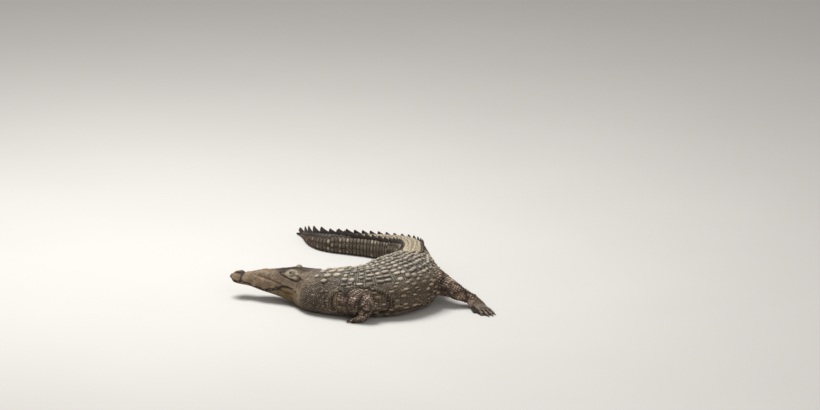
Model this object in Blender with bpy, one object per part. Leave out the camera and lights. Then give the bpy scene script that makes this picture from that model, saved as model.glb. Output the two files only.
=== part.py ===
"""A marsh crocodile resting on its belly, with its body bent into an open ring.

Metres, +Z up, the floor at z = 0. A place on the body is told by s, the distance
behind the snout tip along the spine, by side, the distance to the animal's left of
the spine, and by height above the floor. +X runs to the right of an onlooker who
faces the animal's left side, and +Y away from them.
"""
import math
from collections import namedtuple

import bmesh
import bpy
import numpy as np
from mathutils import Matrix, Vector

# Lengths along the spine.
HEAD_LENGTH = 0.445
NECK_LENGTH = 0.155
TRUNK_LENGTH = 0.52
TAIL_LENGTH = 1.26
SHOULDER = HEAD_LENGTH + NECK_LENGTH
HIP = SHOULDER + TRUNK_LENGTH
TAIL_TIP = HIP + TAIL_LENGTH

GAP = 0.0003            # between neighbouring parts
LEG_GAP = 0.0005        # between the lengths of a leg, where their facets cross
FLOOR = 0.0
SNOUT_X = -0.635        # the snout tip's place over the floor
SNOUT_Y = -0.2875

# The way the spine runs, tailward, in degrees from +X towards +Y.
HEADING = (
    (0.0, -17), (0.35, -21), (0.48, -36), (SHOULDER, -22), (SHOULDER + 0.11, 10),
    (SHOULDER + 0.24, 48), (SHOULDER + 0.37, 70), (HIP, 83), (HIP + 0.32, 92), (HIP + 0.48, 117),
    (HIP + 0.62, 147), (HIP + 0.86, 161), (HIP + 1.06, 116), (HIP + 1.16, 105), (TAIL_TIP, 128),
)
HALF_WIDTH = (
    (0.0, 0.026), (0.013, 0.042), (0.038, 0.050), (0.065, 0.047), (0.092, 0.044), (0.130, 0.053),
    (0.169, 0.064), (0.207, 0.066), (0.244, 0.069), (0.294, 0.083), (0.348, 0.101), (0.403, 0.130),
    (HEAD_LENGTH, 0.150), (0.495, 0.168), (SHOULDER, 0.166), (SHOULDER + 0.09, 0.176),
    (SHOULDER + 0.20, 0.208), (SHOULDER + 0.30, 0.208), (HIP - 0.12, 0.180), (HIP, 0.148),
    (HIP + 0.16, 0.107), (HIP + 0.40, 0.076), (HIP + 0.66, 0.052), (HIP + 0.92, 0.034),
    (HIP + 1.12, 0.019), (TAIL_TIP, 0.004),
)
# How much of that width is left on the right, on the inside of the trunk's bend.
INNER_WIDTH = ((SHOULDER - 0.08, 1.0), (SHOULDER + 0.16, 0.80), (SHOULDER + 0.28, 0.82), (HIP, 1.0))
TOP = (
    (0.0, 0.116), (0.013, 0.125), (0.038, 0.1300), (0.065, 0.1310), (0.092, 0.1340), (0.130, 0.142),
    (0.174, 0.151), (0.217, 0.161), (0.261, 0.169), (0.294, 0.1735), (0.326, 0.1755), (0.359, 0.1755),
    (0.403, 0.174), (HEAD_LENGTH, 0.173), (0.51, 0.182), (SHOULDER, 0.203),
    (SHOULDER + 0.12, 0.225), (SHOULDER + 0.24, 0.240), (HIP - 0.12, 0.230), (HIP, 0.203),
    (HIP + 0.16, 0.180), (HIP + 0.40, 0.150), (HIP + 0.66, 0.116), (HIP + 0.92, 0.094),
    (HIP + 1.02, 0.080), (HIP + 1.10, 0.060), (HIP + 1.18, 0.040), (TAIL_TIP, 0.018),
)
BOTTOM = (
    (0.0, 0.090), (0.013, 0.076), (0.038, 0.069), (0.092, 0.061), (0.169, 0.043), (0.239, 0.027),
    (0.315, 0.010), (0.370, -0.002), (0.5, -0.004), (TAIL_TIP - 0.2, -0.003), (TAIL_TIP, 0.0),
)
# How square the section is above and below its widest level: 2 is an ellipse.
SQUARE_ABOVE = (
    (0.0, 2.2), (0.065, 2.3), (0.217, 2.3), (0.326, 3.0), (0.391, 3.4), (HEAD_LENGTH, 2.6),
    (SHOULDER, 2.1), (HIP, 2.1), (HIP + 0.3, 2.8), (HIP + 0.75, 2.8), (TAIL_TIP, 2.2),
)
SQUARE_BELOW = (
    (0.0, 2.4), (0.326, 2.6), (HEAD_LENGTH, 2.9), (SHOULDER, 2.9), (SHOULDER + 0.2, 2.8), (HIP, 2.8),
    (TAIL_TIP, 2.4),
)
WIDEST_LEVEL = ((0.0, 0.45), (0.343, 0.38), (HEAD_LENGTH, 0.42), (SHOULDER, 0.42), (TAIL_TIP, 0.40))
# How much the sides lean in towards the top.
TOP_TAPER = (
    (0.0, 0.10), (0.120, 0.15), (0.264, 0.30), (0.395, 0.38), (0.424, 0.36), (0.535, 0.10),
    (SHOULDER, 0.0), (HIP, 0.0), (HIP + 0.2, 0.12), (TAIL_TIP, 0.30),
)
MOUTH_LINE = (
    (-0.022, 0.104), (0.033, 0.092), (0.092, 0.084), (0.130, 0.068), (0.174, 0.062), (0.229, 0.068),
    (0.272, 0.076), (0.326, 0.073), (0.391, 0.078), (0.418, 0.080),
)
JAW_CORNER = 0.418
JAW_INSET = ((0.0, 0.90), (0.28, 0.90), (0.395, 1.0))   # the lower jaw's width next to the upper's
JAW_BLOCK_WIDTH = 0.44
JAW_BLOCK_FOOT = -0.05

EYE_S = 0.327
EYE_SIDE = 0.047
EYE_HEIGHT = 0.158
EYE_RADIUS = 0.015
EYE_DETAIL = 2
BROW_RISE = 0.007
NOSTRIL_S = 0.040
NOSTRIL_RISE = 0.004

TOOTH_LENGTH = 0.014
TOOTH_RADIUS = 0.0034
TOOTH_TIP = 0.2         # the tip's radius as a share of the root's
UPPER_TEETH = (0.125, 0.145, 0.165, 0.187, 0.212, 0.238, 0.264)

WHORL = 0.040           # length of one ring of tail scales
CREST_START = HIP - 0.02
CREST_JOIN = HIP + 0.88     # where the two rows of the crest become one
CREST_END = TAIL_TIP - 0.05
CREST_HEIGHT = ((CREST_START, 0.010), (HIP + 0.25, 0.016), (HIP + 0.60, 0.019), (CREST_JOIN, 0.022),
                (CREST_JOIN + 0.08, 0.027), (TAIL_TIP - 0.20, 0.025), (TAIL_TIP, 0.008))
CREST_SPREAD = ((CREST_START, 0.062), (HIP + 0.35, 0.050), (HIP + 0.56, 0.042), (HIP + 0.68, 0.030),
                (HIP + 0.77, 0.022), (CREST_JOIN, 0.008), (TAIL_TIP, 0.0))
CREST_ROOT = 0.008
CREST_LEAN = 0.45
CREST_THICKNESS = 0.010
CREST_TIP = 0.18

TAIL_CUTS = (HIP + 0.02, HIP + 0.32, HIP + 0.62, HIP + 0.92)
HEAD_SIDES = 22
SNOUT_ROWS = (0.0, 0.005, 0.013)   # where the rounded snout tip's rings stand
HEAD_STEP = 0.0205      # the most between one ring and the next
BODY_STEP = 0.040
TAIL_STEP = 0.050
JAW_STEP = 0.034
BODY_SIDES = 24
TAIL_SIDES = 14
TOE_SIDES = 6
TOE_ROWS = 3
LEG_SIDES = 12
LEG_ROWS = 3            # rings of a leg from one joint to the next
ROUND_END = (0.45, 0.8, 0.97)   # where a round end's rings stand, as shares of its length
LATER_START = 0.90      # how thick a leg's length starts out of the one before it

PALM_SHARE = 0.50
TOE_ROOT = 0.30
TOE_REACH = 0.74        # how far along the foot the outer toes go, and how much further the middle
TOE_ARC = 0.10
TOE_SPACING = 0.45      # how far apart the toes start, as a share of the foot times their angle
TOE_THICK = 0.066
TOE_THIN = 0.028
TOE_SIT = 0.83          # the height of a toe's middle as a share of its radius
TOE_ARCH = 0.004
CLAWED_TOES = 3
CLAW_GAP = 0.004
CLAW_SHARE = 0.22
CLAW_TIP = 0.12
CLAW_DROOP = 0.002

# A leg's joints are (tailward, outward, height) from the spine at its girdle: root, middle,
# elbow or knee, wrist or ankle, and the toe tips. Its toes fan out over spread degrees.
Leg = namedtuple("Leg", "name side at joints widths depths toes spread")
LEGS = (
    Leg("fore_left", 1, SHOULDER + 0.03,
        ((0.010, 0.060, 0.105), (0.048, 0.132, 0.096), (0.122, 0.162, 0.083), (0.114, 0.187, 0.028),
         (0.022, 0.176, 0.012)),
        (0.130, 0.128, 0.098, 0.050, 0.064), (0.135, 0.128, 0.092, 0.043, 0.016), 5, 30),
    Leg("fore_right", -1, SHOULDER + 0.03,
        ((0.000, 0.060, 0.105), (-0.030, 0.150, 0.098), (-0.045, 0.235, 0.070), (-0.130, 0.240, 0.030),
         (-0.235, 0.250, 0.012)),
        (0.130, 0.115, 0.078, 0.048, 0.062), (0.135, 0.115, 0.078, 0.042, 0.016), 5, 30),
    Leg("hind_left", 1, HIP,
        ((-0.060, 0.060, 0.112), (-0.150, 0.125, 0.112), (-0.215, 0.215, 0.092),
         (-0.215, 0.330, 0.036), (-0.395, 0.454, 0.009)),
        (0.150, 0.130, 0.100, 0.064, 0.100), (0.150, 0.130, 0.094, 0.052, 0.014), 4, 13),
    Leg("hind_right", -1, HIP,
        ((-0.020, 0.060, 0.112), (-0.030, 0.150, 0.095), (0.000, 0.250, 0.072),
         (0.060, 0.310, 0.034), (0.120, 0.490, 0.009)),
        (0.150, 0.120, 0.092, 0.064, 0.100), (0.150, 0.120, 0.078, 0.050, 0.014), 4, 22),
)

HIDE = (0.155, 0.130, 0.105)
BACK = (0.225, 0.205, 0.170)
TAIL_SKIN = (0.085, 0.070, 0.052)
LEG_SKIN = (0.120, 0.095, 0.075)
HORN = (0.050, 0.040, 0.032)
EYE_COLOUR = (0.180, 0.150, 0.060)
HIDE_ROUGHNESS = 0.75
EYE_ROUGHNESS = 0.15


def smooth_through(stations, at):
    """Values of the smooth curve through (place, value) stations, which never overshoots them."""
    place, value = np.array(stations, float).T
    step = np.diff(place)
    rise = np.diff(value) / step
    slope = np.zeros(len(place))
    slope[0], slope[-1] = rise[0], rise[-1]
    same_way = rise[:-1] * rise[1:] > 0
    before = 2 * step[1:] + step[:-1]
    after = step[1:] + 2 * step[:-1]
    lean = before / np.where(same_way, rise[:-1], 1) + after / np.where(same_way, rise[1:], 1)
    slope[1:-1] = np.where(same_way, (before + after) / lean, 0)
    at = np.clip(at, place[0], place[-1])
    i = np.clip(np.searchsorted(place, at) - 1, 0, len(step) - 1)
    f = (at - place[i]) / step[i]
    return ((1 + 2 * f) * (1 - f) ** 2 * value[i] + f * (1 - f) ** 2 * step[i] * slope[i]
            + f * f * (3 - 2 * f) * value[i + 1] + f * f * (f - 1) * step[i] * slope[i + 1])


SPINE_STEP = 0.002
SPINE_S = np.arange(-0.05, TAIL_TIP + 0.05, SPINE_STEP)
SPINE_TURN = np.radians(smooth_through(HEADING, SPINE_S))
SPINE_X = np.cumsum(np.cos(SPINE_TURN)) * SPINE_STEP
SPINE_Y = np.cumsum(np.sin(SPINE_TURN)) * SPINE_STEP
SPINE_X += SNOUT_X - np.interp(0, SPINE_S, SPINE_X)
SPINE_Y += SNOUT_Y - np.interp(0, SPINE_S, SPINE_Y)


def on_spine(s, side, height):
    """The point at s, side metres to the animal's left, at that height."""
    turn = np.interp(s, SPINE_S, SPINE_TURN)
    x = np.interp(s, SPINE_S, SPINE_X) + np.sin(turn) * side
    y = np.interp(s, SPINE_S, SPINE_Y) - np.cos(turn) * side
    return np.stack(np.broadcast_arrays(x, y, height), axis=-1)


def bump(distance, radius):
    return np.exp(-(distance / radius) ** 2)


def section(s, angle, grow=0.0):
    """The body's outline at s: (side, height) at an angle counted from its left side over the top."""
    across, up = np.cos(angle), np.sin(angle)
    half = smooth_through(HALF_WIDTH, s) + grow
    top = smooth_through(TOP, s) + grow
    bottom = smooth_through(BOTTOM, s) - grow
    level = bottom + (top - bottom) * smooth_through(WIDEST_LEVEL, s)
    above = up > 0
    power = 2 / np.where(above, smooth_through(SQUARE_ABOVE, s), smooth_through(SQUARE_BELOW, s))
    side = half * np.sign(across) * np.abs(across) ** power
    side = np.where(across < 0, side * smooth_through(INNER_WIDTH, s), side)
    reach = np.abs(up) ** power
    height = np.where(above, level + (top - level) * reach, level - (level - bottom) * reach)
    side = side * np.where(above, 1 - smooth_through(TOP_TAPER, s) * reach, 1)
    brow = bump(s - EYE_S, 0.030) * bump(np.abs(side) - EYE_SIDE, 0.022)
    nostrils = bump(s - NOSTRIL_S, 0.018) * bump(side, 0.030)
    height = height + np.where(above, BROW_RISE * brow + NOSTRIL_RISE * nostrils, 0)
    return side, height


def body_point(s, angle, grow=0.0):
    side, height = section(s, angle, grow)
    return on_spine(s, side, np.maximum(height, FLOOR - grow))


def limb_point(leg, joint, count, u, angle, grow=0.0):
    """A point of a leg's surface from one joint over the next few: u runs 0 to 1, with round ends."""
    u = np.asarray(u, float)
    stops = np.linspace(0, 1, count + 1)
    joints = leg.joints[joint:joint + count + 1]
    path = [tuple(zip(stops, (place[axis] for place in joints))) for axis in range(3)]
    length = sum(math.dist(*pair) for pair in zip(joints[:-1], joints[1:]))
    wide = smooth_through(tuple(zip(stops, leg.widths[joint:joint + count + 1])), u) / 2
    deep = smooth_through(tuple(zip(stops, leg.depths[joint:joint + count + 1])), u) / 2
    past = np.clip(np.abs(u - 0.5) - 0.5, 0, None) * length / (deep + grow)
    cap = np.sqrt(np.clip(1 - past ** 2, 0.02, 1))
    centre = along_path(path, u)
    along = along_path(path, u + 0.05) - along_path(path, u - 0.05)
    along /= np.linalg.norm(along, axis=-1, keepdims=True)
    flat = np.cross(along, (0, 0, 1))
    flat /= np.linalg.norm(flat, axis=-1, keepdims=True)
    upright = np.cross(flat, along)
    point = (centre + flat * ((wide * cap + grow) * np.cos(angle))[..., None]
             + upright * ((deep * cap + grow) * np.sin(angle))[..., None])
    return from_girdle(leg, point)


def along_path(path, u):
    """A point on a smooth path, which runs on straight past its ends."""
    inside = np.clip(u, 0, 1)
    place = np.stack([smooth_through(way, inside) for way in path], axis=-1)
    nudge = 0.01
    end = np.where(u > 0.5, 1 - nudge, 0)
    run = np.stack([smooth_through(way, end + nudge) - smooth_through(way, end) for way in path],
                   axis=-1)
    return place + run * ((u - inside) / nudge)[..., None]


def from_girdle(leg, point):
    """A point given tailward, outward and up from a leg's girdle, in the world."""
    start = on_spine(leg.at, 0, 0)
    turn = np.interp(leg.at, SPINE_S, SPINE_TURN)
    tailward = np.array((np.cos(turn), np.sin(turn), 0))
    outward = np.array((np.sin(turn), -np.cos(turn), 0)) * leg.side
    point = np.asarray(point, float)
    world = start + point[..., :1] * tailward + point[..., 1:2] * outward
    world[..., 2] = np.maximum(point[..., 2], FLOOR)
    return world


def between(start, end, most):
    """Evenly spaced stations from start to end, no further apart than most."""
    return np.linspace(start, end, 1 + math.ceil((end - start) / most))


def lofted(rows, sides, point):
    """A closed tube through the rows of places that point(row, angle) gives, with flat ends."""
    bm = bmesh.new()
    last = len(rows) - 1
    bmesh.ops.create_grid(bm, x_segments=last, y_segments=sides, size=0.5)
    verts = list(bm.verts)
    across = np.array([vert.co for vert in verts]) + 0.5
    row = np.array(rows)[np.rint(across[:, 0] * last).astype(int)]
    angle = np.rint(across[:, 1] * sides) / sides * 2 * math.pi
    for vert, place in zip(verts, point(row, angle)):
        vert.co = place
    bmesh.ops.remove_doubles(bm, verts=bm.verts, dist=1e-6)
    bmesh.ops.holes_fill(bm, edges=[edge for edge in bm.edges if edge.is_boundary], sides=0)
    bmesh.ops.recalc_face_normals(bm, faces=bm.faces)
    if bm.calc_volume(signed=True) < 0:
        bmesh.ops.reverse_faces(bm, faces=bm.faces)
    return bm


def finish_mesh(bm, name):
    mesh = bpy.data.meshes.new(name)
    bm.to_mesh(mesh)
    bm.free()
    mesh.shade_smooth()
    mesh.set_sharp_from_angle(angle=math.radians(50))
    piece = bpy.data.objects.new(name, mesh)
    bpy.context.collection.objects.link(piece)
    return piece


def paint(piece, colour, roughness):
    """Give a sub-part its own material."""
    material = bpy.data.materials.new(piece.name)
    material.use_nodes = True
    shader = material.node_tree.nodes["Principled BSDF"]
    shader.inputs["Base Color"].default_value = (*colour, 1)
    shader.inputs["Roughness"].default_value = roughness
    piece.data.materials.append(material)
    return piece


def guide(piece):
    """Keep a cutter or a piece that is joined to another out of the model."""
    piece.hide_render = True
    piece.display_type = "WIRE"
    return piece


def change(piece, other, operation):
    """Cut other out of piece, or join it on."""
    boolean = piece.modifiers.new(operation.title(), "BOOLEAN")
    boolean.object = other
    boolean.operation = operation
    boolean.solver = "EXACT"
    boolean.use_self = operation == "UNION"


NECK_ROWS = between(HEAD_LENGTH, SHOULDER, BODY_STEP)
TRUNK_ROWS = between(SHOULDER + GAP, TAIL_CUTS[0], BODY_STEP)
TAIL_ENDS = TAIL_CUTS[1:] + (TAIL_TIP,)
TAIL_ROWS = [between(start + GAP, end, TAIL_STEP) for start, end in zip(TAIL_CUTS, TAIL_ENDS)]


def body_length(name, rows, sides, colour):
    return paint(finish_mesh(lofted(rows, sides, body_point), name), colour, HIDE_ROUGHNESS)


def plain_guide(bm, name):
    """A cutter, or a shape to be joined on."""
    return guide(finish_mesh(bm, name))


def jaw_block(name, drop):
    """The space under the mouth line, forward of the jaw's heel."""
    bm = bmesh.new()
    rows = between(MOUTH_LINE[0][0], JAW_CORNER - drop, JAW_STEP)
    last = len(rows) - 1
    bmesh.ops.create_grid(bm, x_segments=last, y_segments=1, size=0.5)
    for vert in bm.verts:
        s = rows[round((vert.co.x + 0.5) * last)]
        height = smooth_through(MOUTH_LINE, s) - drop
        vert.co = on_spine(s, vert.co.y * JAW_BLOCK_WIDTH, height)
    lower = bmesh.ops.extrude_face_region(bm, geom=bm.faces[:])["geom"]
    for item in lower:
        if isinstance(item, bmesh.types.BMVert):
            item.co.z = JAW_BLOCK_FOOT
    bmesh.ops.recalc_face_normals(bm, faces=bm.faces)
    return plain_guide(bm, name)


def jaw_point(s, angle):
    """The lower jaw's side, a little inside the upper's along the teeth."""
    side, height = section(s, angle)
    return on_spine(s, side * smooth_through(JAW_INSET, s), np.maximum(height, FLOOR))


def surface_side(s, height):
    """How far out the body's side is at a height below its widest level."""
    angle = np.linspace(-math.pi / 2, 0, 60)
    side, level = section(np.full(60, s), angle)
    return float(np.interp(height, level, side))


def back_height(s, side):
    """How high the back is at a distance to the side of the spine."""
    angle = np.linspace(0, math.pi / 2, 60)
    out, level = section(np.full(60, s), angle)
    return float(np.interp(abs(side), out[::-1], level[::-1]))


def upper_teeth():
    """The teeth of the upper jaw that hang outside the lower lip."""
    bm = bmesh.new()
    for s in UPPER_TEETH:
        line = float(smooth_through(MOUTH_LINE, s))
        out = surface_side(s, line) - TOOTH_RADIUS * 0.6
        for side in (-out, out):
            tooth = bmesh.ops.create_cone(bm, cap_ends=True, segments=6, radius1=TOOTH_RADIUS * TOOTH_TIP,
                                          radius2=TOOTH_RADIUS, depth=TOOTH_LENGTH)
            middle = Vector(on_spine(s, side, line))
            bmesh.ops.translate(bm, verts=tooth["verts"], vec=middle)
    return plain_guide(bm, "teeth")


def eyeball(name, side, radius):
    bm = bmesh.new()
    bmesh.ops.create_icosphere(bm, subdivisions=EYE_DETAIL, radius=radius)
    centre = Vector(on_spine(EYE_S, side * EYE_SIDE, EYE_HEIGHT))
    bmesh.ops.translate(bm, verts=bm.verts, vec=centre)
    return finish_mesh(bm, name)


def make_head():
    """The skull with its upper teeth, the lower jaw and the two eyes."""
    rows = np.concatenate([SNOUT_ROWS, between(SNOUT_ROWS[-1] + HEAD_STEP, HEAD_LENGTH - GAP, HEAD_STEP)])
    head = body_length("head", rows, HEAD_SIDES, HIDE)
    change(head, jaw_block("jaw_space", 0.0), "DIFFERENCE")
    change(head, upper_teeth(), "UNION")
    jaw = paint(finish_mesh(lofted(rows, HEAD_SIDES, jaw_point), "lower_jaw"), HIDE, HIDE_ROUGHNESS)
    change(jaw, jaw_block("jaw_shape", GAP), "INTERSECT")
    for name, side in (("left", 1), ("right", -1)):
        paint(eyeball("eye_" + name, side, EYE_RADIUS), EYE_COLOUR, EYE_ROUGHNESS)
        socket = guide(eyeball("socket_" + name, side, EYE_RADIUS + GAP))
        change(head, socket, "DIFFERENCE")


def crest_blade(bm, s, side, height):
    """One upright scale of the crest, leaning tailward, rooted in the tail."""
    base = back_height(s, side) - CREST_ROOT
    blade = bmesh.ops.create_cone(bm, cap_ends=True, segments=4, radius1=math.sqrt(0.5),
                                  radius2=CREST_TIP, depth=1)["verts"]
    bmesh.ops.rotate(bm, verts=blade, cent=(0, 0, 0), matrix=Matrix.Rotation(math.pi / 4, 3, "Z"))
    for vert in blade:
        rise = (vert.co.z + 0.5) * (height + CREST_ROOT)
        along = s + vert.co.x * WHORL * 0.86 + rise * CREST_LEAN
        vert.co = on_spine(along, side + vert.co.y * CREST_THICKNESS, base + rise)


def crest_between(start, end):
    """The crest scales of one length of the tail: two rows that become one."""
    bm = bmesh.new()
    margin = WHORL / 2
    for s in np.arange(CREST_START, CREST_END, WHORL):
        if not start + margin < s < end - margin - 0.004:
            continue
        height = float(smooth_through(CREST_HEIGHT, s))
        spread = float(smooth_through(CREST_SPREAD, s))
        for side in ((spread, -spread) if s < CREST_JOIN else (0.0,)):
            crest_blade(bm, s, side, height)
    return bm


def make_body():
    """The neck, the trunk and the lengths of the tail with their crest."""
    body_length("neck", NECK_ROWS, BODY_SIDES, HIDE)
    body_length("trunk", TRUNK_ROWS, BODY_SIDES, BACK)
    for number, rows in enumerate(TAIL_ROWS, 1):
        sides = BODY_SIDES if number == 1 else TAIL_SIDES
        length = body_length(f"tail_{number}", rows, sides, TAIL_SKIN)
        crest = crest_between(rows[0], rows[-1])
        change(length, plain_guide(crest, f"crest_{number}"), "UNION")


def foot_frame(leg):
    """A foot's start, its direction over the floor and its length."""
    wrist, tips = np.array(leg.joints[3]), np.array(leg.joints[4])
    ahead = tips - wrist
    return wrist, math.atan2(ahead[1], ahead[0]), math.hypot(ahead[0], ahead[1])


def toe_line(leg, number, part):
    """The centre of a toe at a fraction of its length, tailward, outward and up."""
    wrist, turn, length = foot_frame(leg)
    fan = math.radians(leg.spread) * (number / (leg.toes - 1) - 0.5)
    middle = 1 - abs(2 * number / (leg.toes - 1) - 1)
    reach = length * (TOE_ROOT + (TOE_REACH + TOE_ARC * middle - TOE_ROOT) * part)
    sideways = length * TOE_SPACING * fan
    x = reach * math.cos(turn + fan) - sideways * math.sin(turn)
    y = reach * math.sin(turn + fan) + sideways * math.cos(turn)
    radius = toe_radius(leg, part)
    arch = TOE_ARCH * 4 * part * (1 - part)
    return np.array((wrist[0] + x, wrist[1] + y, radius * TOE_SIT + arch))


def toe_radius(leg, part):
    return length_of_foot(leg) * (TOE_THICK - TOE_THIN * part)


def length_of_foot(leg):
    return foot_frame(leg)[2]


def toe_mesh(leg, number, start, end, tip_scale, droop):
    """A stretch of a toe, or the claw past its end, as a tapering tube."""
    def point(part, angle):
        centre = np.array([toe_line(leg, number, one) for one in part])
        ahead = toe_line(leg, number, 1.0) - toe_line(leg, number, 0.8)
        flat = np.array((-ahead[1], ahead[0], 0)) / math.hypot(ahead[0], ahead[1])
        share = (part - start) / (end - start)
        radius = np.array([toe_radius(leg, min(one, 1.0)) for one in part])
        radius = radius * (1 - (1 - tip_scale) * share)
        centre[:, 2] -= droop * share ** 2
        ring = centre + flat * (radius * np.cos(angle))[:, None]
        ring[:, 2] += radius * np.sin(angle)
        return from_girdle(leg, ring)
    return lofted(np.linspace(start, end, TOE_ROWS), TOE_SIDES, point)


def add_mesh(bm, other):
    """Add another mesh's faces to this one."""
    mesh = bpy.data.meshes.new("part")
    other.to_mesh(mesh)
    other.free()
    bm.from_mesh(mesh)
    bpy.data.meshes.remove(mesh)


def limb_length(leg, joint, count, start, end, grow=0.0):
    """A closed stretch of a leg, past its joints by a round end where start or end asks for it."""
    inner = np.linspace(0, 1, 1 + LEG_ROWS * count)
    length = sum(math.dist(*pair) for pair in zip(leg.joints[joint:joint + count],
                                                  leg.joints[joint + 1:joint + count + 1]))
    rows = [inner]
    if start:
        cap = leg.depths[joint] / 2 / length + grow / length
        rows.insert(0, -cap * np.array(ROUND_END[::-1]))
    if end:
        cap = leg.depths[joint + count] / 2 / length + grow / length
        rows.append(1 + cap * np.array(ROUND_END))
    rows = np.concatenate(rows)
    return lofted(rows, LEG_SIDES, lambda u, angle: limb_point(leg, joint, count, u, angle, grow))


def make_leg(leg, body):
    """A leg's upper part, lower part and foot with its toes, each clear of the rest."""
    cutters = [body]
    for part, joint, count in (("upper", 0, 2), ("lower", 2, 1), ("foot", 3, 1)):
        ends = (False, True) if part == "upper" else (True, part == "lower")
        stretch = leg if part == "upper" else thinner_at(leg, joint)
        stretch = stretch if part != "foot" else palm_of(stretch)
        name = f"{leg.name}_{part}"
        piece = finish_mesh(limb_length(stretch, joint, count, *ends), name)
        paint(piece, LEG_SKIN, HIDE_ROUGHNESS)
        if part == "foot":
            toes = bmesh.new()
            for number in range(leg.toes):
                add_mesh(toes, toe_mesh(leg, number, 0.0, 1.0, 0.8, 0.0))
            change(piece, plain_guide(toes, f"{leg.name}_toes"), "UNION")
        for cutter in cutters:
            change(piece, cutter, "DIFFERENCE")
        grown = limb_length(stretch, joint, count, *ends, grow=LEG_GAP)
        cutters.append(plain_guide(grown, f"{name}_space"))
    for number in range(CLAWED_TOES):
        claw = toe_mesh(leg, number, 1.0 + CLAW_GAP, 1.0 + CLAW_SHARE, CLAW_TIP, CLAW_DROOP)
        paint(finish_mesh(claw, f"{leg.name}_claw_{number + 1}"), HORN, HIDE_ROUGHNESS)


def thinner_at(leg, joint):
    """The leg a little thinner at one joint, so that it comes out of the length before it."""
    shares = [LATER_START if number == joint else 1 for number in range(len(leg.widths))]
    return leg._replace(widths=tuple(np.multiply(leg.widths, shares)),
                        depths=tuple(np.multiply(leg.depths, shares)))


def palm_of(leg):
    """The leg with its last joint moved back to where the toes part, at the toes' height."""
    wrist, tips = np.array(leg.joints[3]), np.array(leg.joints[4])
    end = wrist + (tips - wrist) * PALM_SHARE
    end[2] = tips[2]
    return leg._replace(joints=leg.joints[:4] + (tuple(end),))


def main():
    for old in list(bpy.data.objects):
        bpy.data.objects.remove(old, do_unlink=True)
    make_head()
    make_body()
    rows = np.concatenate([NECK_ROWS, TRUNK_ROWS, TAIL_ROWS[0]])
    body = lofted(rows, BODY_SIDES, lambda s, angle: body_point(s, angle, GAP))
    body = plain_guide(body, "body_space")
    for leg in LEGS:
        make_leg(leg, body)


if __name__ == "__main__":
    main()
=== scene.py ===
"""The finish of a resting marsh crocodile: one skin, its scales, eyes, claws and teeth.

Lengths are in metres and +Z is up. A place on the body is told by s, the distance behind
the snout tip along the spine, and by an angle counted from the animal's left side over
its back. The left side faces the onlooker.
"""
import math
from collections import namedtuple

import bmesh
import bpy
import numpy as np
from bpy.props import FloatProperty, FloatVectorProperty, IntProperty, PointerProperty
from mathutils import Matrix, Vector
from mathutils.bvhtree import BVHTree
from mathutils.kdtree import KDTree


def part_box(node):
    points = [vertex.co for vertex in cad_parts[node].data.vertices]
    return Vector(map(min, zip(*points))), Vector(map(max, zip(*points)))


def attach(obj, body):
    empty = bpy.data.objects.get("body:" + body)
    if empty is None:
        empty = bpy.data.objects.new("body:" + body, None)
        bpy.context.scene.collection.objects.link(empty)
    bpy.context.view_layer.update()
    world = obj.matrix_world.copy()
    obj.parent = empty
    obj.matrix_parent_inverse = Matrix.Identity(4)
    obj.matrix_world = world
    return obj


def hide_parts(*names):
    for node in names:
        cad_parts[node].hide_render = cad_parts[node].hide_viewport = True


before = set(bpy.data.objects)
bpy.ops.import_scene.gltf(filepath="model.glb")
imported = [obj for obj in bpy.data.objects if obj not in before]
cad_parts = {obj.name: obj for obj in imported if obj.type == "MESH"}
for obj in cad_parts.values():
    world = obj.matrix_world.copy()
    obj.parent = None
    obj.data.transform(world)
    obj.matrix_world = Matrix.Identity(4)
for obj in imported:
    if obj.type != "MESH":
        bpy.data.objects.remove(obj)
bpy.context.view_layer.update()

bl_info = {
    "name": "Resting Crocodile",
    "version": (1, 0, 0),
    "blender": (4, 5, 0),
    "location": "View3D > Sidebar > Crocodile",
    "description": "Builds the skin, scales and finish of a life-size resting crocodile",
    "category": "Object",
}

# Lengths along the spine.
HEAD_LENGTH = 0.445
NECK_LENGTH = 0.155
TRUNK_LENGTH = 0.52
TAIL_LENGTH = 1.26
SHOULDER = HEAD_LENGTH + NECK_LENGTH
HIP = SHOULDER + TRUNK_LENGTH
TAIL_TIP = HIP + TAIL_LENGTH

FLOOR = 0.0
SNOUT_X = -0.635        # the snout tip's place over the floor
SNOUT_Y = -0.2875

# The way the spine runs, tailward, in degrees from +X towards +Y.
HEADING = (
    (0.0, -17), (0.35, -21), (0.48, -36), (SHOULDER, -22), (SHOULDER + 0.11, 10),
    (SHOULDER + 0.24, 48), (SHOULDER + 0.37, 70), (HIP, 83), (HIP + 0.32, 92), (HIP + 0.48, 117),
    (HIP + 0.62, 147), (HIP + 0.86, 161), (HIP + 1.06, 116), (HIP + 1.16, 105), (TAIL_TIP, 128),
)
HALF_WIDTH = (
    (0.0, 0.026), (0.013, 0.042), (0.038, 0.050), (0.065, 0.047), (0.092, 0.044), (0.130, 0.053),
    (0.169, 0.064), (0.207, 0.066), (0.244, 0.069), (0.294, 0.083), (0.348, 0.101), (0.403, 0.130),
    (HEAD_LENGTH, 0.150), (0.495, 0.168), (SHOULDER, 0.166), (SHOULDER + 0.09, 0.176),
    (SHOULDER + 0.20, 0.208), (SHOULDER + 0.30, 0.208), (HIP - 0.12, 0.180), (HIP, 0.148),
    (HIP + 0.16, 0.107), (HIP + 0.40, 0.076), (HIP + 0.66, 0.052), (HIP + 0.92, 0.034),
    (HIP + 1.12, 0.019), (TAIL_TIP, 0.004),
)
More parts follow.
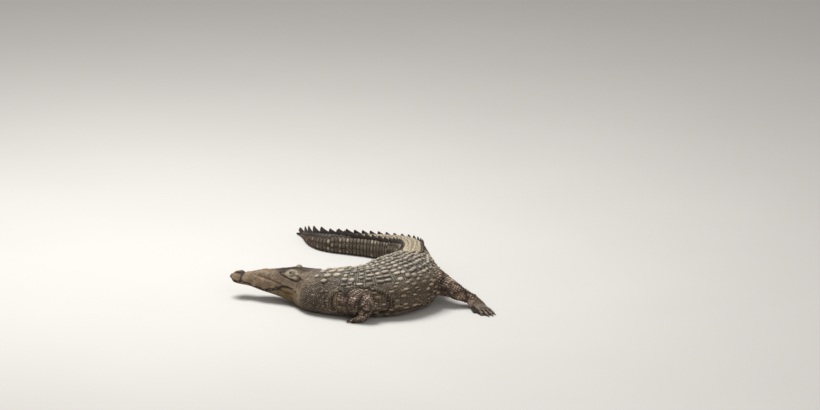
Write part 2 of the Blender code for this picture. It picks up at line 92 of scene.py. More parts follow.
# How much of that width is left on the right, on the inside of the trunk's bend.
INNER_WIDTH = ((SHOULDER - 0.08, 1.0), (SHOULDER + 0.16, 0.80), (SHOULDER + 0.28, 0.82), (HIP, 1.0))
TOP = (
    (0.0, 0.116), (0.013, 0.125), (0.038, 0.1300), (0.065, 0.1310), (0.092, 0.1340), (0.130, 0.142),
    (0.174, 0.151), (0.217, 0.161), (0.261, 0.169), (0.294, 0.1735), (0.326, 0.1755), (0.359, 0.1755),
    (0.403, 0.174), (HEAD_LENGTH, 0.173), (0.51, 0.182), (SHOULDER, 0.203),
    (SHOULDER + 0.12, 0.225), (SHOULDER + 0.24, 0.240), (HIP - 0.12, 0.230), (HIP, 0.203),
    (HIP + 0.16, 0.180), (HIP + 0.40, 0.150), (HIP + 0.66, 0.116), (HIP + 0.92, 0.094),
    (HIP + 1.02, 0.080), (HIP + 1.10, 0.060), (HIP + 1.18, 0.040), (TAIL_TIP, 0.018),
)
BOTTOM = (
    (0.0, 0.090), (0.013, 0.076), (0.038, 0.069), (0.092, 0.061), (0.169, 0.043), (0.239, 0.027),
    (0.315, 0.010), (0.370, -0.002), (0.5, -0.004), (TAIL_TIP - 0.2, -0.003), (TAIL_TIP, 0.0),
)
# How square the section is above and below its widest level: 2 is an ellipse.
SQUARE_ABOVE = (
    (0.0, 2.2), (0.065, 2.3), (0.217, 2.3), (0.326, 3.0), (0.391, 3.4), (HEAD_LENGTH, 2.6),
    (SHOULDER, 2.1), (HIP, 2.1), (HIP + 0.3, 2.8), (HIP + 0.75, 2.8), (TAIL_TIP, 2.2),
)
SQUARE_BELOW = (
    (0.0, 2.4), (0.326, 2.6), (HEAD_LENGTH, 2.9), (SHOULDER, 2.9), (SHOULDER + 0.2, 2.8), (HIP, 2.8),
    (TAIL_TIP, 2.4),
)
WIDEST_LEVEL = ((0.0, 0.45), (0.343, 0.38), (HEAD_LENGTH, 0.42), (SHOULDER, 0.42), (TAIL_TIP, 0.40))
# How much the sides lean in towards the top.
TOP_TAPER = (
    (0.0, 0.10), (0.120, 0.15), (0.264, 0.30), (0.395, 0.38), (0.424, 0.36), (0.535, 0.10),
    (SHOULDER, 0.0), (HIP, 0.0), (HIP + 0.2, 0.12), (TAIL_TIP, 0.30),
)
MOUTH_LINE = (
    (-0.022, 0.104), (0.033, 0.092), (0.092, 0.084), (0.130, 0.070), (0.182, 0.064), (0.229, 0.073),
    (0.262, 0.085), (0.290, 0.096), (0.315, 0.096), (0.354, 0.087), (0.391, 0.079), (0.418, 0.080),
)
JAW_INSET = ((0.0, 0.92), (0.28, 0.92), (0.395, 1.0))   # the lower jaw's width next to the upper's

EYE_S = 0.327
EYE_SIDE = 0.047
EYE_HEIGHT = 0.158
EYE_RADIUS = 0.015
BROW_RISE = 0.007
NOSTRIL_S = 0.040
NOSTRIL_RISE = 0.004

WHORL = 0.040           # length of one ring of the tail, with one blade of the crest on it
CREST_START = HIP - 0.02
CREST_JOIN = HIP + 0.88     # where the two rows of the crest become one
CREST_END = TAIL_TIP - 0.020
CREST_STRETCH = 0.66    # how much longer the rings get behind the join
CREST_HEIGHT = ((CREST_START, 0.010), (HIP + 0.25, 0.016), (HIP + 0.60, 0.019), (CREST_JOIN, 0.022),
                (CREST_JOIN + 0.08, 0.027), (TAIL_TIP - 0.20, 0.025), (TAIL_TIP, 0.012))
CREST_SPREAD = ((CREST_START, 0.062), (HIP + 0.35, 0.050), (HIP + 0.56, 0.042), (HIP + 0.68, 0.030),
                (HIP + 0.77, 0.022), (CREST_JOIN, 0.008), (TAIL_TIP, 0.0))
CREST_ROOT = 0.008      # how deep a blade is set
CREST_LEAN = 0.42
CREST_THICKNESS = 0.0058
BLADE_HALF = 0.60       # half a blade's length as a share of its ring

PALM_SHARE = 0.50
TOE_ROOT = 0.30
TOE_REACH = 0.74        # how far along the foot the outer toes go, and how much further the middle
TOE_ARC = 0.10
TOE_SPACING = 0.45      # how far apart the toes start, as a share of the foot times their angle
TOE_THICK = 0.066
TOE_THIN = 0.028
TOE_SIT = 0.83          # the height of a toe's middle as a share of its radius
TOE_ARCH = 0.004
CLAWED_TOES = 3
CLAW_LENGTH = 0.22 * 0.62
LIMB_CREASES = 8.2      # turn of the net of slack skin's creases from one joint of a leg to the next

# A leg's joints are (tailward, outward, height) from the spine at its girdle: root, middle,
# elbow or knee, wrist or ankle, and the toe tips. Its toes fan out over spread degrees.
Leg = namedtuple("Leg", "name side at joints widths depths toes spread")
LEGS = (
    Leg("fore_left", 1, SHOULDER + 0.03,
        ((0.010, 0.060, 0.105), (0.048, 0.132, 0.096), (0.122, 0.162, 0.083), (0.114, 0.187, 0.028),
         (0.022, 0.176, 0.012)),
        (0.130, 0.128, 0.098, 0.050, 0.064), (0.135, 0.128, 0.092, 0.043, 0.016), 5, 30),
    Leg("fore_right", -1, SHOULDER + 0.03,
        ((0.000, 0.060, 0.105), (-0.030, 0.150, 0.098), (-0.045, 0.235, 0.070), (-0.130, 0.240, 0.030),
         (-0.235, 0.250, 0.012)),
        (0.130, 0.115, 0.078, 0.048, 0.062), (0.135, 0.115, 0.078, 0.042, 0.016), 5, 30),
    Leg("hind_left", 1, HIP,
        ((-0.060, 0.060, 0.112), (-0.150, 0.125, 0.112), (-0.215, 0.215, 0.092),
         (-0.215, 0.330, 0.036), (-0.395, 0.454, 0.009)),
        (0.150, 0.130, 0.100, 0.064, 0.100), (0.150, 0.130, 0.094, 0.052, 0.014), 4, 13),
    Leg("hind_right", -1, HIP,
        ((-0.020, 0.060, 0.112), (-0.030, 0.150, 0.095), (0.000, 0.250, 0.072),
         (0.060, 0.310, 0.034), (0.120, 0.490, 0.009)),
        (0.150, 0.120, 0.092, 0.064, 0.100), (0.150, 0.120, 0.078, 0.050, 0.014), 4, 22),
)


def smooth_through(stations, at):
    """Values of the smooth curve through (place, value) stations, which never overshoots them."""
    place, value = np.array(stations, float).T
    step = np.diff(place)
    rise = np.diff(value) / step
    slope = np.zeros(len(place))
    slope[0], slope[-1] = rise[0], rise[-1]
    same_way = rise[:-1] * rise[1:] > 0
    before = 2 * step[1:] + step[:-1]
    after = step[1:] + 2 * step[:-1]
    lean = before / np.where(same_way, rise[:-1], 1) + after / np.where(same_way, rise[1:], 1)
    slope[1:-1] = np.where(same_way, (before + after) / lean, 0)
    at = np.clip(at, place[0], place[-1])
    i = np.clip(np.searchsorted(place, at) - 1, 0, len(step) - 1)
    f = (at - place[i]) / step[i]
    return ((1 + 2 * f) * (1 - f) ** 2 * value[i] + f * (1 - f) ** 2 * step[i] * slope[i]
            + f * f * (3 - 2 * f) * value[i + 1] + f * f * (f - 1) * step[i] * slope[i + 1])


SPINE_STEP = 0.002
SPINE_S = np.arange(-0.05, TAIL_TIP + 0.05, SPINE_STEP)
SPINE_TURN = np.radians(smooth_through(HEADING, SPINE_S))
SPINE_X = np.cumsum(np.cos(SPINE_TURN)) * SPINE_STEP
SPINE_Y = np.cumsum(np.sin(SPINE_TURN)) * SPINE_STEP
SPINE_X += SNOUT_X - np.interp(0, SPINE_S, SPINE_X)
SPINE_Y += SNOUT_Y - np.interp(0, SPINE_S, SPINE_Y)


def directions(s):
    """Tailward, and to the animal's left, over the floor at s."""
    turn = np.interp(s, SPINE_S, SPINE_TURN)
    across, along, flat = np.sin(turn), np.cos(turn), np.zeros_like(turn)
    return np.stack([along, across, flat], axis=-1), np.stack([across, -along, flat], axis=-1)


def on_spine(s, side, height):
    """The point at s, side metres to the animal's left, at that height."""
    turn = np.interp(s, SPINE_S, SPINE_TURN)
    x = np.interp(s, SPINE_S, SPINE_X) + np.sin(turn) * side
    y = np.interp(s, SPINE_S, SPINE_Y) - np.cos(turn) * side
    return np.stack(np.broadcast_arrays(x, y, height), axis=-1)


PROFILE = {
    name: smooth_through(stations, SPINE_S) for name, stations in (
        ("half", HALF_WIDTH), ("inner", INNER_WIDTH), ("top", TOP), ("bottom", BOTTOM),
        ("square_above", SQUARE_ABOVE), ("square_below", SQUARE_BELOW), ("level", WIDEST_LEVEL),
        ("taper", TOP_TAPER), ("mouth", MOUTH_LINE), ("jaw", JAW_INSET),
    )
}
SNOUT_ROUND = 0.010     # length of the rounded ends past the snout's and the tail's last rings
TAIL_ROUND = 0.012


def profile(name, s):
    return np.interp(s, SPINE_S, PROFILE[name])


def rise_over(value, low, high):
    """0 below low, 1 above high and smooth between."""
    share = np.clip((value - low) / (high - low), 0, 1)
    return share * share * (3 - 2 * share)


def within(value, start, full, fading, end):
    """1 from full to fading, 0 outside start and end."""
    return rise_over(value, start, full) * rise_over(-value, -end, -fading)


def bump(distance, radius):
    return np.exp(-(distance / radius) ** 2)


def section(s, angle, grow):
    """The body's outline at s: (side, height) at an angle counted from its left side over the top."""
    across, up = np.cos(angle), np.sin(angle)
    past = np.clip(-s / SNOUT_ROUND, 0, 1) + np.clip((s - TAIL_TIP) / TAIL_ROUND, 0, 1)
    shrink = np.sqrt(np.clip(1 - past ** 2, 0, 1))
    half = (profile("half", s) + grow) * shrink
    top, bottom = profile("top", s), profile("bottom", s)
    level = bottom + (top - bottom) * profile("level", s)
    above = up > 0
    power = 2 / np.where(above, profile("square_above", s), profile("square_below", s))
    side = half * np.sign(across) * np.abs(across) ** power
    side = np.where(across < 0, side * profile("inner", s), side)
    reach = np.abs(up) ** power
    height = level + np.where(above, top + grow - level, bottom - grow - level) * reach * shrink
    side = side * np.where(above, 1 - profile("taper", s) * reach, 1)
    brow = bump(s - EYE_S, 0.030) * bump(np.abs(side) - EYE_SIDE, 0.022)
    nostrils = bump(s - NOSTRIL_S, 0.018) * bump(side, 0.030)
    return side, height + np.where(above, BROW_RISE * brow + NOSTRIL_RISE * nostrils, 0)


def near_line(x, y, start, end):
    """Distance of (x, y) from the stretch between two points."""
    run = (end[0] - start[0], end[1] - start[1])
    share = ((x - start[0]) * run[0] + (y - start[1]) * run[1]) / (run[0] ** 2 + run[1] ** 2)
    share = np.clip(share, 0, 1)
    return np.hypot(x - start[0] - share * run[0], y - start[1] - share * run[1])


def along_line(x, y, line):
    """Distance of (x, y) from a line through several points."""
    gap = near_line(x, y, line[0], line[1])
    for start, end in zip(line[1:-1], line[2:]):
        gap = np.minimum(gap, near_line(x, y, start, end))
    return gap


# Lines drawn on the hide, as (rise, radius, points); a groove's rise is below 0. Seen from the
# side their points are (s, height), and seen from above (s, out).
CHEEK_FOLD = ((0.120, 0.132), (0.205, 0.118), (0.285, 0.098))
JAW_FOLD = ((0.262, 0.079), (0.292, 0.066), (0.350, 0.064), (0.402, 0.067), (0.436, 0.078))
EAR_SLIT = ((0.345, 0.152), (0.372, 0.149), (0.412, 0.139))
EAR_FLAP = ((0.350, 0.1585), (0.412, 0.1460))
EYE_FOLD = ((0.262, 0.146), (0.306, 0.137), (0.349, 0.1275), (0.368, 0.131), (0.384, 0.141))
EYE_BAG = ((0.318, 0.1415), (0.360, 0.1385))
CHEEK_CREASE = ((0.372, 0.102), (0.376, 0.124))
BROW_FOLD = ((0.212, 0.146), (0.250, 0.150), (0.284, 0.158))
JAW_LINES = ((-0.0046, 0.0046, JAW_FOLD), (-0.0034, 0.0050, CHEEK_FOLD))
SIDE_LINES = ((-0.0065, 0.0030, EAR_SLIT), (0.0030, 0.0040, EAR_FLAP), (-0.0078, 0.0040, EYE_FOLD),
              (0.0040, 0.0050, EYE_BAG), (-0.0040, 0.0035, CHEEK_CREASE), (-0.0045, 0.0042, BROW_FOLD))
NOSTRIL = ((0.026, 0.0120), (0.044, 0.0190))
SNOUT_RIDGE = ((0.150, 0.030), (0.300, 0.048))
SNOUT_HOLLOW = ((0.200, 0.008), (0.290, 0.014))
TABLE_SIDE = ((0.350, 0.058), (0.420, 0.066))
TABLE_BACK = ((0.424, 0.0), (0.424, 0.060))
TOP_LINES = ((0.0036, 0.0060, SNOUT_RIDGE), (-0.0030, 0.010, SNOUT_HOLLOW),
             (0.0035, 0.007, TABLE_SIDE), (0.003, 0.007, TABLE_BACK), (-0.0120, 0.0060, NOSTRIL))
LIP_NOTCHES = (0.066, 0.143, 0.165)     # where the lower front teeth show
NECK_FOLDS = ((0.458, 0.0022), (0.500, 0.0026), (0.548, 0.0030))     # (s, depth)
# The ring folds round the roots of the legs, as (s, height, radius).
GIRDLE_FOLDS = ((SHOULDER + 0.075, 0.085, 0.074), (HIP - 0.120, 0.100, 0.088))


def drawn(lines, x, y):
    """The rise of several lines together at (x, y)."""
    return sum(rise * bump(along_line(x, y, line), radius) for rise, radius, line in lines)


def mouth_relief(s, side, height):
    """The closed mouth: a deep line with a wavy upper lip over it."""
    above = height - profile("mouth", s)
    outside = rise_over(np.abs(side), 0.012, 0.030) + (s < 0.03)
    front = np.clip(outside, 0, 1) * rise_over(-s, -0.424, -0.410)
    wave = np.sin(2 * math.pi * (s - 0.010) / 0.052) * within(s, 0.03, 0.08, 0.28, 0.36)
    lip = 0.0016 * bump(above - 0.007, 0.006) + 0.0024 * wave * bump(above - 0.009, 0.010)
    notches = sum(-0.0065 * bump(np.hypot(s - place, above - 0.005), 0.0060) for place in LIP_NOTCHES)
    open_share = bump(s - 0.220, 0.060)
    gape = (0.0085 + 0.0030 * open_share) * bump(above + 0.001, 0.0042 + 0.0014 * open_share)
    corner = 0.004 * bump(np.hypot(s - 0.425, height - 0.074), 0.016)
    jowl = 0.008 * bump(s - 0.395, 0.040) * bump(height - 0.045, 0.030)
    cheek = 0.0016 * bump(along_line(s, height, CHEEK_FOLD) - 0.011, 0.007)
    return front * (lip + notches - gape) + corner + jowl + cheek + drawn(JAW_LINES, s, height)


def head_relief(s, side, height):
    """The skull under the skin: brows, ridges, table, nasal disc and the snout's bosses."""
    out = np.abs(side)
    above = rise_over(height - profile("mouth", s), 0.02, 0.04)
    from_eye = np.hypot(s - EYE_S, (out - EYE_SIDE) * 1.2)
    brow = 0.0010 * bump(from_eye - 0.022, 0.008) - 0.003 * bump(out, 0.018) * bump(s - EYE_S, 0.045)
    pit = -0.003 * bump(np.hypot(s - 0.385, out - 0.026), 0.011)
    nape = -0.0025 * bump(s - 0.446, 0.010) * rise_over(height, 0.13, 0.17)
    disc = 0.003 * bump(np.hypot(s - 0.034, side) - 0.016, 0.010) - 0.0058 * bump(s - 0.064, 0.0070)
    between = 0.002 * bump(out, 0.004) * bump(s - 0.032, 0.014)
    swell = 0.003 * bump(s - 0.160, 0.022) * bump(out - 0.030, 0.016)
    bosses = 0.0014 * np.sin(s * 330) * np.sin(out * 420) * within(s, 0.08, 0.11, 0.26, 0.30)
    return above * (brow + pit + nape + disc + between + swell + bosses + drawn(TOP_LINES, s, out))


def side_relief(s, height):
    """Ears, cheeks and the folds of the throat, neck, flank, tail and limb roots."""
    total = drawn(SIDE_LINES, s, height) + 0.004 * bump(np.hypot(s - 0.37, height - 0.108), 0.028)
    low = rise_over(-height, -0.175, -0.12) * rise_over(s, 0.42, 0.44)
    for place, depth in NECK_FOLDS:
        total = total - depth * low * bump(s - place - 0.45 * (height - 0.08), 0.0060)
    belly = bump(height - 0.040, 0.008) * within(s, 0.66, 0.74, HIP - 0.14, HIP - 0.02)
    tail = bump(height / profile("top", s) - 0.37, 0.045)
    tail = tail * within(s, HIP + 0.42, HIP + 0.52, HIP + 0.90, HIP + 0.98)
    total = total - 0.005 * belly - 0.0045 * tail
    for place, level, radius in GIRDLE_FOLDS:
        ring = np.hypot((s - place) * 0.95, height - level)
        total = total - 0.0070 * bump(ring - radius, 0.0065) - 0.0045 * bump(ring - radius * 1.27, 0.006)
        total = total + 0.0040 * bump(ring - radius * 1.13, 0.010)
    return total


def relief(s, side, height):
    """How far the living surface stands out of the plain body at a place on it."""
    head = rise_over(-s, -0.47, -0.44)
    total = head * (mouth_relief(s, side, height) + head_relief(s, side, height))
    return total + side_relief(s, height) * rise_over(s, 0.24, 0.26)


def surface(s, angle, grow=0.0):
    """A point on the body, grow outside the solids' surface, with its folds."""
    side, height = section(s, angle, 0.0)
    full = grow + relief(s, side, height) * rise_over(s, -0.012, 0.004)
    side, height = section(s, angle, full)
    below = rise_over(profile("mouth", s) - height, -0.002, 0.003)
    side = side * (1 - below * (1 - profile("jaw", s)))
    return on_spine(s, side, np.maximum(height, FLOOR - grow))


def limb_creases(place, angle):
    """How deep the slack skin of a leg is creased, and how high it stands in ridges, 0 to 1.
    The place counts the joints from the root."""
    one = np.sin(LIMB_CREASES * place + 3 * angle + 0.8 * np.sin(2 * angle + place))
    other = np.sin(LIMB_CREASES * 1.25 * place - 4 * angle + 0.7 * np.sin(3 * angle))
    share = within(place, 0.4, 0.9, 3.0, 3.4)
    crease = np.maximum((0.5 - 0.5 * one) ** 7, 0.8 * (0.5 - 0.5 * other) ** 8)
    return share * crease, share * (0.5 + 0.5 * one) ** 2 * (0.5 + 0.5 * other) ** 2


def length_of(joints):
    return sum(math.dist(*pair) for pair in zip(joints[:-1], joints[1:]))


def limb_point(leg, joint, count, u, angle, grow=0.0):
    """A point of a leg's surface from one joint over the next few: u runs 0 to 1, with round ends."""
    u = np.asarray(u, float)
    crease, ridge = limb_creases(joint + np.clip(u, 0, 1) * count, np.asarray(angle))
    grow = grow - 0.0040 * crease + 0.0012 * ridge
    stops = np.linspace(0, 1, count + 1)
    part = slice(joint, joint + count + 1)
    path = [tuple(zip(stops, way)) for way in zip(*leg.joints[part])]
    wide = smooth_through(tuple(zip(stops, leg.widths[part])), u) / 2
    deep = smooth_through(tuple(zip(stops, leg.depths[part])), u) / 2
    past = np.clip(np.abs(u - 0.5) - 0.5, 0, None) * length_of(leg.joints[part]) / (deep + grow)
    cap = np.sqrt(np.clip(1 - past ** 2, 0.02, 1))
    centre = along_path(path, u)
    along = unit(along_path(path, u + 0.05) - along_path(path, u - 0.05))
    flat = unit(np.cross(along, (0, 0, 1)))
    upright = np.cross(flat, along)
    return from_girdle(leg, centre + flat * ((wide * cap + grow) * np.cos(angle))[..., None]
                       + upright * ((deep * cap + grow) * np.sin(angle))[..., None])


def unit(vectors):
    return vectors / np.maximum(np.linalg.norm(vectors, axis=-1, keepdims=True), 1e-9)


def along_path(path, u):
    """A point on a smooth path, which runs on straight past its ends."""
    inside = np.clip(u, 0, 1)
    nudge = 0.01
    end = np.where(u > 0.5, 1 - nudge, 0)
    place, ahead, here = (np.stack([smooth_through(way, at) for way in path], axis=-1)
                          for at in (inside, end + nudge, end))
    return place + (ahead - here) * ((u - inside) / nudge)[..., None]


def from_girdle(leg, point):
    """A point given tailward, outward and up from a leg's girdle, in the world."""
    tailward, left = directions(leg.at)
    point = np.asarray(point, float)
    world = on_spine(leg.at, 0, 0) + point[..., :1] * tailward + point[..., 1:2] * left * leg.side
    world[..., 2] = np.maximum(point[..., 2], FLOOR)
    return world


def to_girdle(leg, points):
    """How far tailward and outward points lie from a leg's girdle."""
    tailward, left = directions(leg.at)
    gap = points - on_spine(leg.at, 0, 0)
    return gap @ tailward, gap @ left * leg.side


def foot_frame(leg):
    """A foot's start, its direction over the floor and its length."""
    wrist, tips = np.array(leg.joints[3]), np.array(leg.joints[4])
    ahead = tips - wrist
    return wrist, math.atan2(ahead[1], ahead[0]), math.hypot(ahead[0], ahead[1])


def toe_line(leg, number, part):
    """The centre of a toe at a fraction of its length, tailward, outward and up."""
    wrist, turn, length = foot_frame(leg)
    fan = math.radians(leg.spread) * (number / (leg.toes - 1) - 0.5)
    middle = 1 - abs(2 * number / (leg.toes - 1) - 1)
    reach = length * (TOE_ROOT + (TOE_REACH + TOE_ARC * middle - TOE_ROOT) * part)
    sideways = length * TOE_SPACING * fan
    x = reach * math.cos(turn + fan) - sideways * math.sin(turn)
    y = reach * math.sin(turn + fan) + sideways * math.cos(turn)
    radius = toe_radius(leg, part)
    arch = TOE_ARCH * 4 * part * (1 - part)
    return np.array((wrist[0] + x, wrist[1] + y, radius * TOE_SIT + arch))


def toe_radius(leg, part):
    return length_of_foot(leg) * (TOE_THICK - TOE_THIN * part)


def length_of_foot(leg):
    return foot_frame(leg)[2]


def palm_of(leg):
    """The leg with its last joint moved back to where the toes part, at the toes' height."""
    wrist, tips = np.array(leg.joints[3]), np.array(leg.joints[4])
    end = wrist + (tips - wrist) * PALM_SHARE
    end[2] = tips[2]
    return leg._replace(joints=leg.joints[:4] + (tuple(end),))


# What the model is made of.
FLESH = ("head", "lower_jaw", "neck", "trunk", "tail_1", "tail_2", "tail_3", "tail_4") + tuple(
    f"{leg.name}_{part}" for leg in LEGS for part in ("upper", "lower", "foot"))


def length_prop(name, text, default):
    return FloatProperty(name=name, description=text, default=default, min=0, unit="LENGTH", precision=4)


def colour_prop(name, text, default):
    return FloatVectorProperty(name=name, description=text, default=default, size=3, min=0, max=1,
                               subtype="COLOR")


def share_prop(name, text, default):
    return FloatProperty(name=name, description=text, default=default, min=0, max=1, subtype="FACTOR")


class CoatSizes(bpy.types.PropertyGroup):
    """Sizes of the skin and its scales."""
    depth: length_prop("Coat depth", "How far the skin lies under the solids' surface", 0.0030)
    columns: IntProperty(name="Skin columns", description="Faces round the body", default=136, min=24)
    head_row: length_prop("Head rows", "Length of a skin face on the head", 0.0031)
    body_row: length_prop("Body rows", "Length of a skin face on the trunk and tail", 0.0068)
    leg_grain: length_prop("Leg grain", "Size of a skin face on the legs", 0.0040)
    back_length: length_prop("Back scute length", "Along the body", 0.0262)
    back_width: length_prop("Back scute width", "Across the body", 0.029)
    back_height: length_prop("Back scute height", "Over the skin, at the keel", 0.0092)
    flank_length: length_prop("Flank scale length", "Along the body", 0.0330)
    flank_width: length_prop("Flank scale width", "Across the body", 0.0175)
    flank_height: length_prop("Flank scale height", "Over the skin, at the keel", 0.0068)
    grain: length_prop("Granule size", "The small scales between the larger ones", 0.0068)
    belly_length: length_prop("Belly plate length", "Along the body", 0.024)
    belly_width: length_prop("Belly plate width", "Across the body", 0.022)
    tail_width: length_prop("Tail plate width", "Up the side of the tail", 0.043)
    leg_length: length_prop("Leg scale length", "Along the leg", 0.0135)
    leg_width: length_prop("Leg scale width", "Round the leg", 0.0118)
    head_grain: length_prop("Head scale size", "Scales of the cheeks, jaws and throat", 0.0066)


class Looks(bpy.types.PropertyGroup):
    """Colours and finishes."""
    flank: colour_prop("Flank", "Hide of the flank", (0.168, 0.120, 0.076))
    back: colour_prop("Back", "Dry scutes of the back", (0.270, 0.238, 0.190))
    neck: colour_prop("Neck", "Hide of the neck", (0.088, 0.062, 0.040))
    head: colour_prop("Head", "Skin of the head", (0.208, 0.143, 0.088))
    skull: colour_prop("Skull", "Darker skin over the eyes, cheeks and skull", (0.098, 0.066, 0.042))
    jaw: colour_prop("Jaw", "Olive side of the lower jaw and jowl", (0.130, 0.082, 0.026))
    belly: colour_prop("Belly", "Belly and throat", (0.210, 0.160, 0.105))
    tail: colour_prop("Tail side", "Dark side of the tail", (0.076, 0.056, 0.036))
    tail_top: colour_prop("Tail top", "Pale top of the tail's root", (0.350, 0.290, 0.195))
    tip: colour_prop("Tail tip", "Red-brown tip of the tail", (0.070, 0.036, 0.022))
    leg: colour_prop("Legs", "Hide of the legs", (0.150, 0.098, 0.066))
    dust: colour_prop("Dust", "Dry sand on the upper side", (0.480, 0.380, 0.270))
    jowl: colour_prop("Jowl", "Pinkish wrinkled skin behind the mouth's corner", (0.150, 0.092, 0.056))
    # Pale colour of dry keels rubbed pale, also used on keels and ridges as a painted highlight
    worn_and_highlight: colour_prop("Worn keels", "Pale dry keels and ridges", (0.400, 0.345, 0.260))
    crest: colour_prop("Crest", "Dark blades of the crest", (0.045, 0.028, 0.020))
    # How far the keels are painted pale: partly rubbed pale, partly a painted highlight
    wear_and_highlight: share_prop("Wear", "How much the keels are worn pale", 0.62)
    # Painted shade at the bottom of folds
    fold: share_prop("Folds", "Brightness of the bottom of a fold", 0.20)
    # Painted shade of the skin between the scales
    crevice_shade: share_prop("Crevice", "Brightness of the skin between scales", 0.24)
    roughness: share_prop("Roughness", "Roughness of the hide", 0.74)
    iris: colour_prop("Iris", "The eye round its slit", (0.100, 0.070, 0.024))
    horn: colour_prop("Horn", "Claws", (0.060, 0.046, 0.036))
    tooth: colour_prop("Tooth", "Teeth", (0.230, 0.185, 0.115))
    floor: colour_prop("Floor", "The studio floor", (0.500, 0.485, 0.462))


class Studio(bpy.types.PropertyGroup):
    """Camera and light."""
    elevation: FloatProperty(name="Elevation", description="Camera's angle over the floor",
                             default=math.radians(16), subtype="ANGLE")
    distance: length_prop("Distance", "Camera to the point it looks at", 40.0)
    field: length_prop("Field", "Width of the view at that distance", 4.0)
    target: FloatVectorProperty(name="Target", description="The point looked at", size=3,
                                default=(0.229, -0.0405, 0.389), subtype="TRANSLATION", unit="LENGTH")
    key: FloatProperty(name="Key light", description="Power of the large soft light", default=420,
                       min=0, subtype="POWER", unit="POWER")
    fill: FloatProperty(name="Fill light", description="Power of the fill light", default=70,
                        min=0, subtype="POWER", unit="POWER")
    sky: FloatProperty(name="Sky", description="Strength of the light from all round", default=0.40,
                       min=0)


# Shader nodes as expressions.
class Wire:
    """A socket that takes part in sums as if it were a number."""

    def __init__(self, shader, socket):
        self.shader = shader
        self.socket = socket

    def _with(self, operation, first, second=None):
        return self.shader.node("ShaderNodeMath", {"operation": operation}, {0: first, 1: second})

    def __add__(self, other):
        return self._with("ADD", self, other)

    def __sub__(self, other):
        return self._with("SUBTRACT", self, other)

    def __rsub__(self, other):
        return self._with("SUBTRACT", other, self)

    def __mul__(self, other):
        return self._with("MULTIPLY", self, other)

    def __truediv__(self, other):
        return self._with("DIVIDE", self, other)

    def __abs__(self):
        return self._with("ABSOLUTE", self)

    __radd__ = __add__
    __rmul__ = __mul__


class Shader:
    """A Principled material under construction."""

    def __init__(self, name):
        self.material = bpy.data.materials.new(name)
        self.material.use_nodes = True
        self.nodes = self.material.node_tree.nodes
        self.links = self.material.node_tree.links

    def feed(self, socket, value):
        if isinstance(value, Wire):
            self.links.new(value.socket, socket)
        elif value is not None:
            wide = socket.type == "RGBA" and len(value) == 3
            socket.default_value = (*value, 1) if wide else value

    def node(self, kind, settings=None, inputs=None, output=0):
        made = self.nodes.new(kind)
        for key, value in (settings or {}).items():
            setattr(made, key, value)
        for key, value in (inputs or {}).items():
            self.feed(made.inputs[key], value)
        return Wire(self, made.outputs[output])

    def set(self, **values):
        for key, value in values.items():
            self.feed(self.nodes["Principled BSDF"].inputs[key.replace("_", " ")], value)

    def attribute(self, name):
        """The three numbers kept for each point under that name."""
        vector = self.node("ShaderNodeAttribute", {"attribute_name": name}, output="Vector")
        first = self.node("ShaderNodeSeparateXYZ", {}, {0: vector})
        return [Wire(self, part) for part in first.socket.node.outputs]

    def noise(self, scale, detail=3.0):
        place = self.node("ShaderNodeTexCoord", output="Object")
        return self.node("ShaderNodeTexNoise", {}, {"Vector": place, "Scale": scale, "Detail": detail})

    def cracks(self, scale):
        """The distance to the nearest edge between irregular cells."""
        place = self.node("ShaderNodeTexCoord", output="Object")
        return self.node("ShaderNodeTexVoronoi", {"feature": "DISTANCE_TO_EDGE"},
                         {"Vector": place, "Scale": scale}, "Distance")

    def smooth(self, value, low, high):
        """0 below low, 1 above high and smooth between."""
        return self.node("ShaderNodeMapRange", {"interpolation_type": "SMOOTHSTEP"},
                         {"Value": value, "From Min": low, "From Max": high})

    def smooth_within(self, value, start, full, fading, end):
        return self.smooth(value, start, full) * (1 - self.smooth(value, fading, end))

    def mix(self, share, first, second):
        """From the first colour to the second."""
        return self.node("ShaderNodeMix", {"data_type": "RGBA"}, {0: share, 6: first, 7: second}, 2)

    def shade(self, colour, factor):
        """A colour made darker or lighter."""
        return self.node("ShaderNodeVectorMath", {"operation": "SCALE"}, {0: colour, 3: factor})

    def relief(self, height, strength, distance):
        self.set(Normal=self.node("ShaderNodeBump", {}, {"Height": height, "Strength": strength,
                                                         "Distance": distance}))


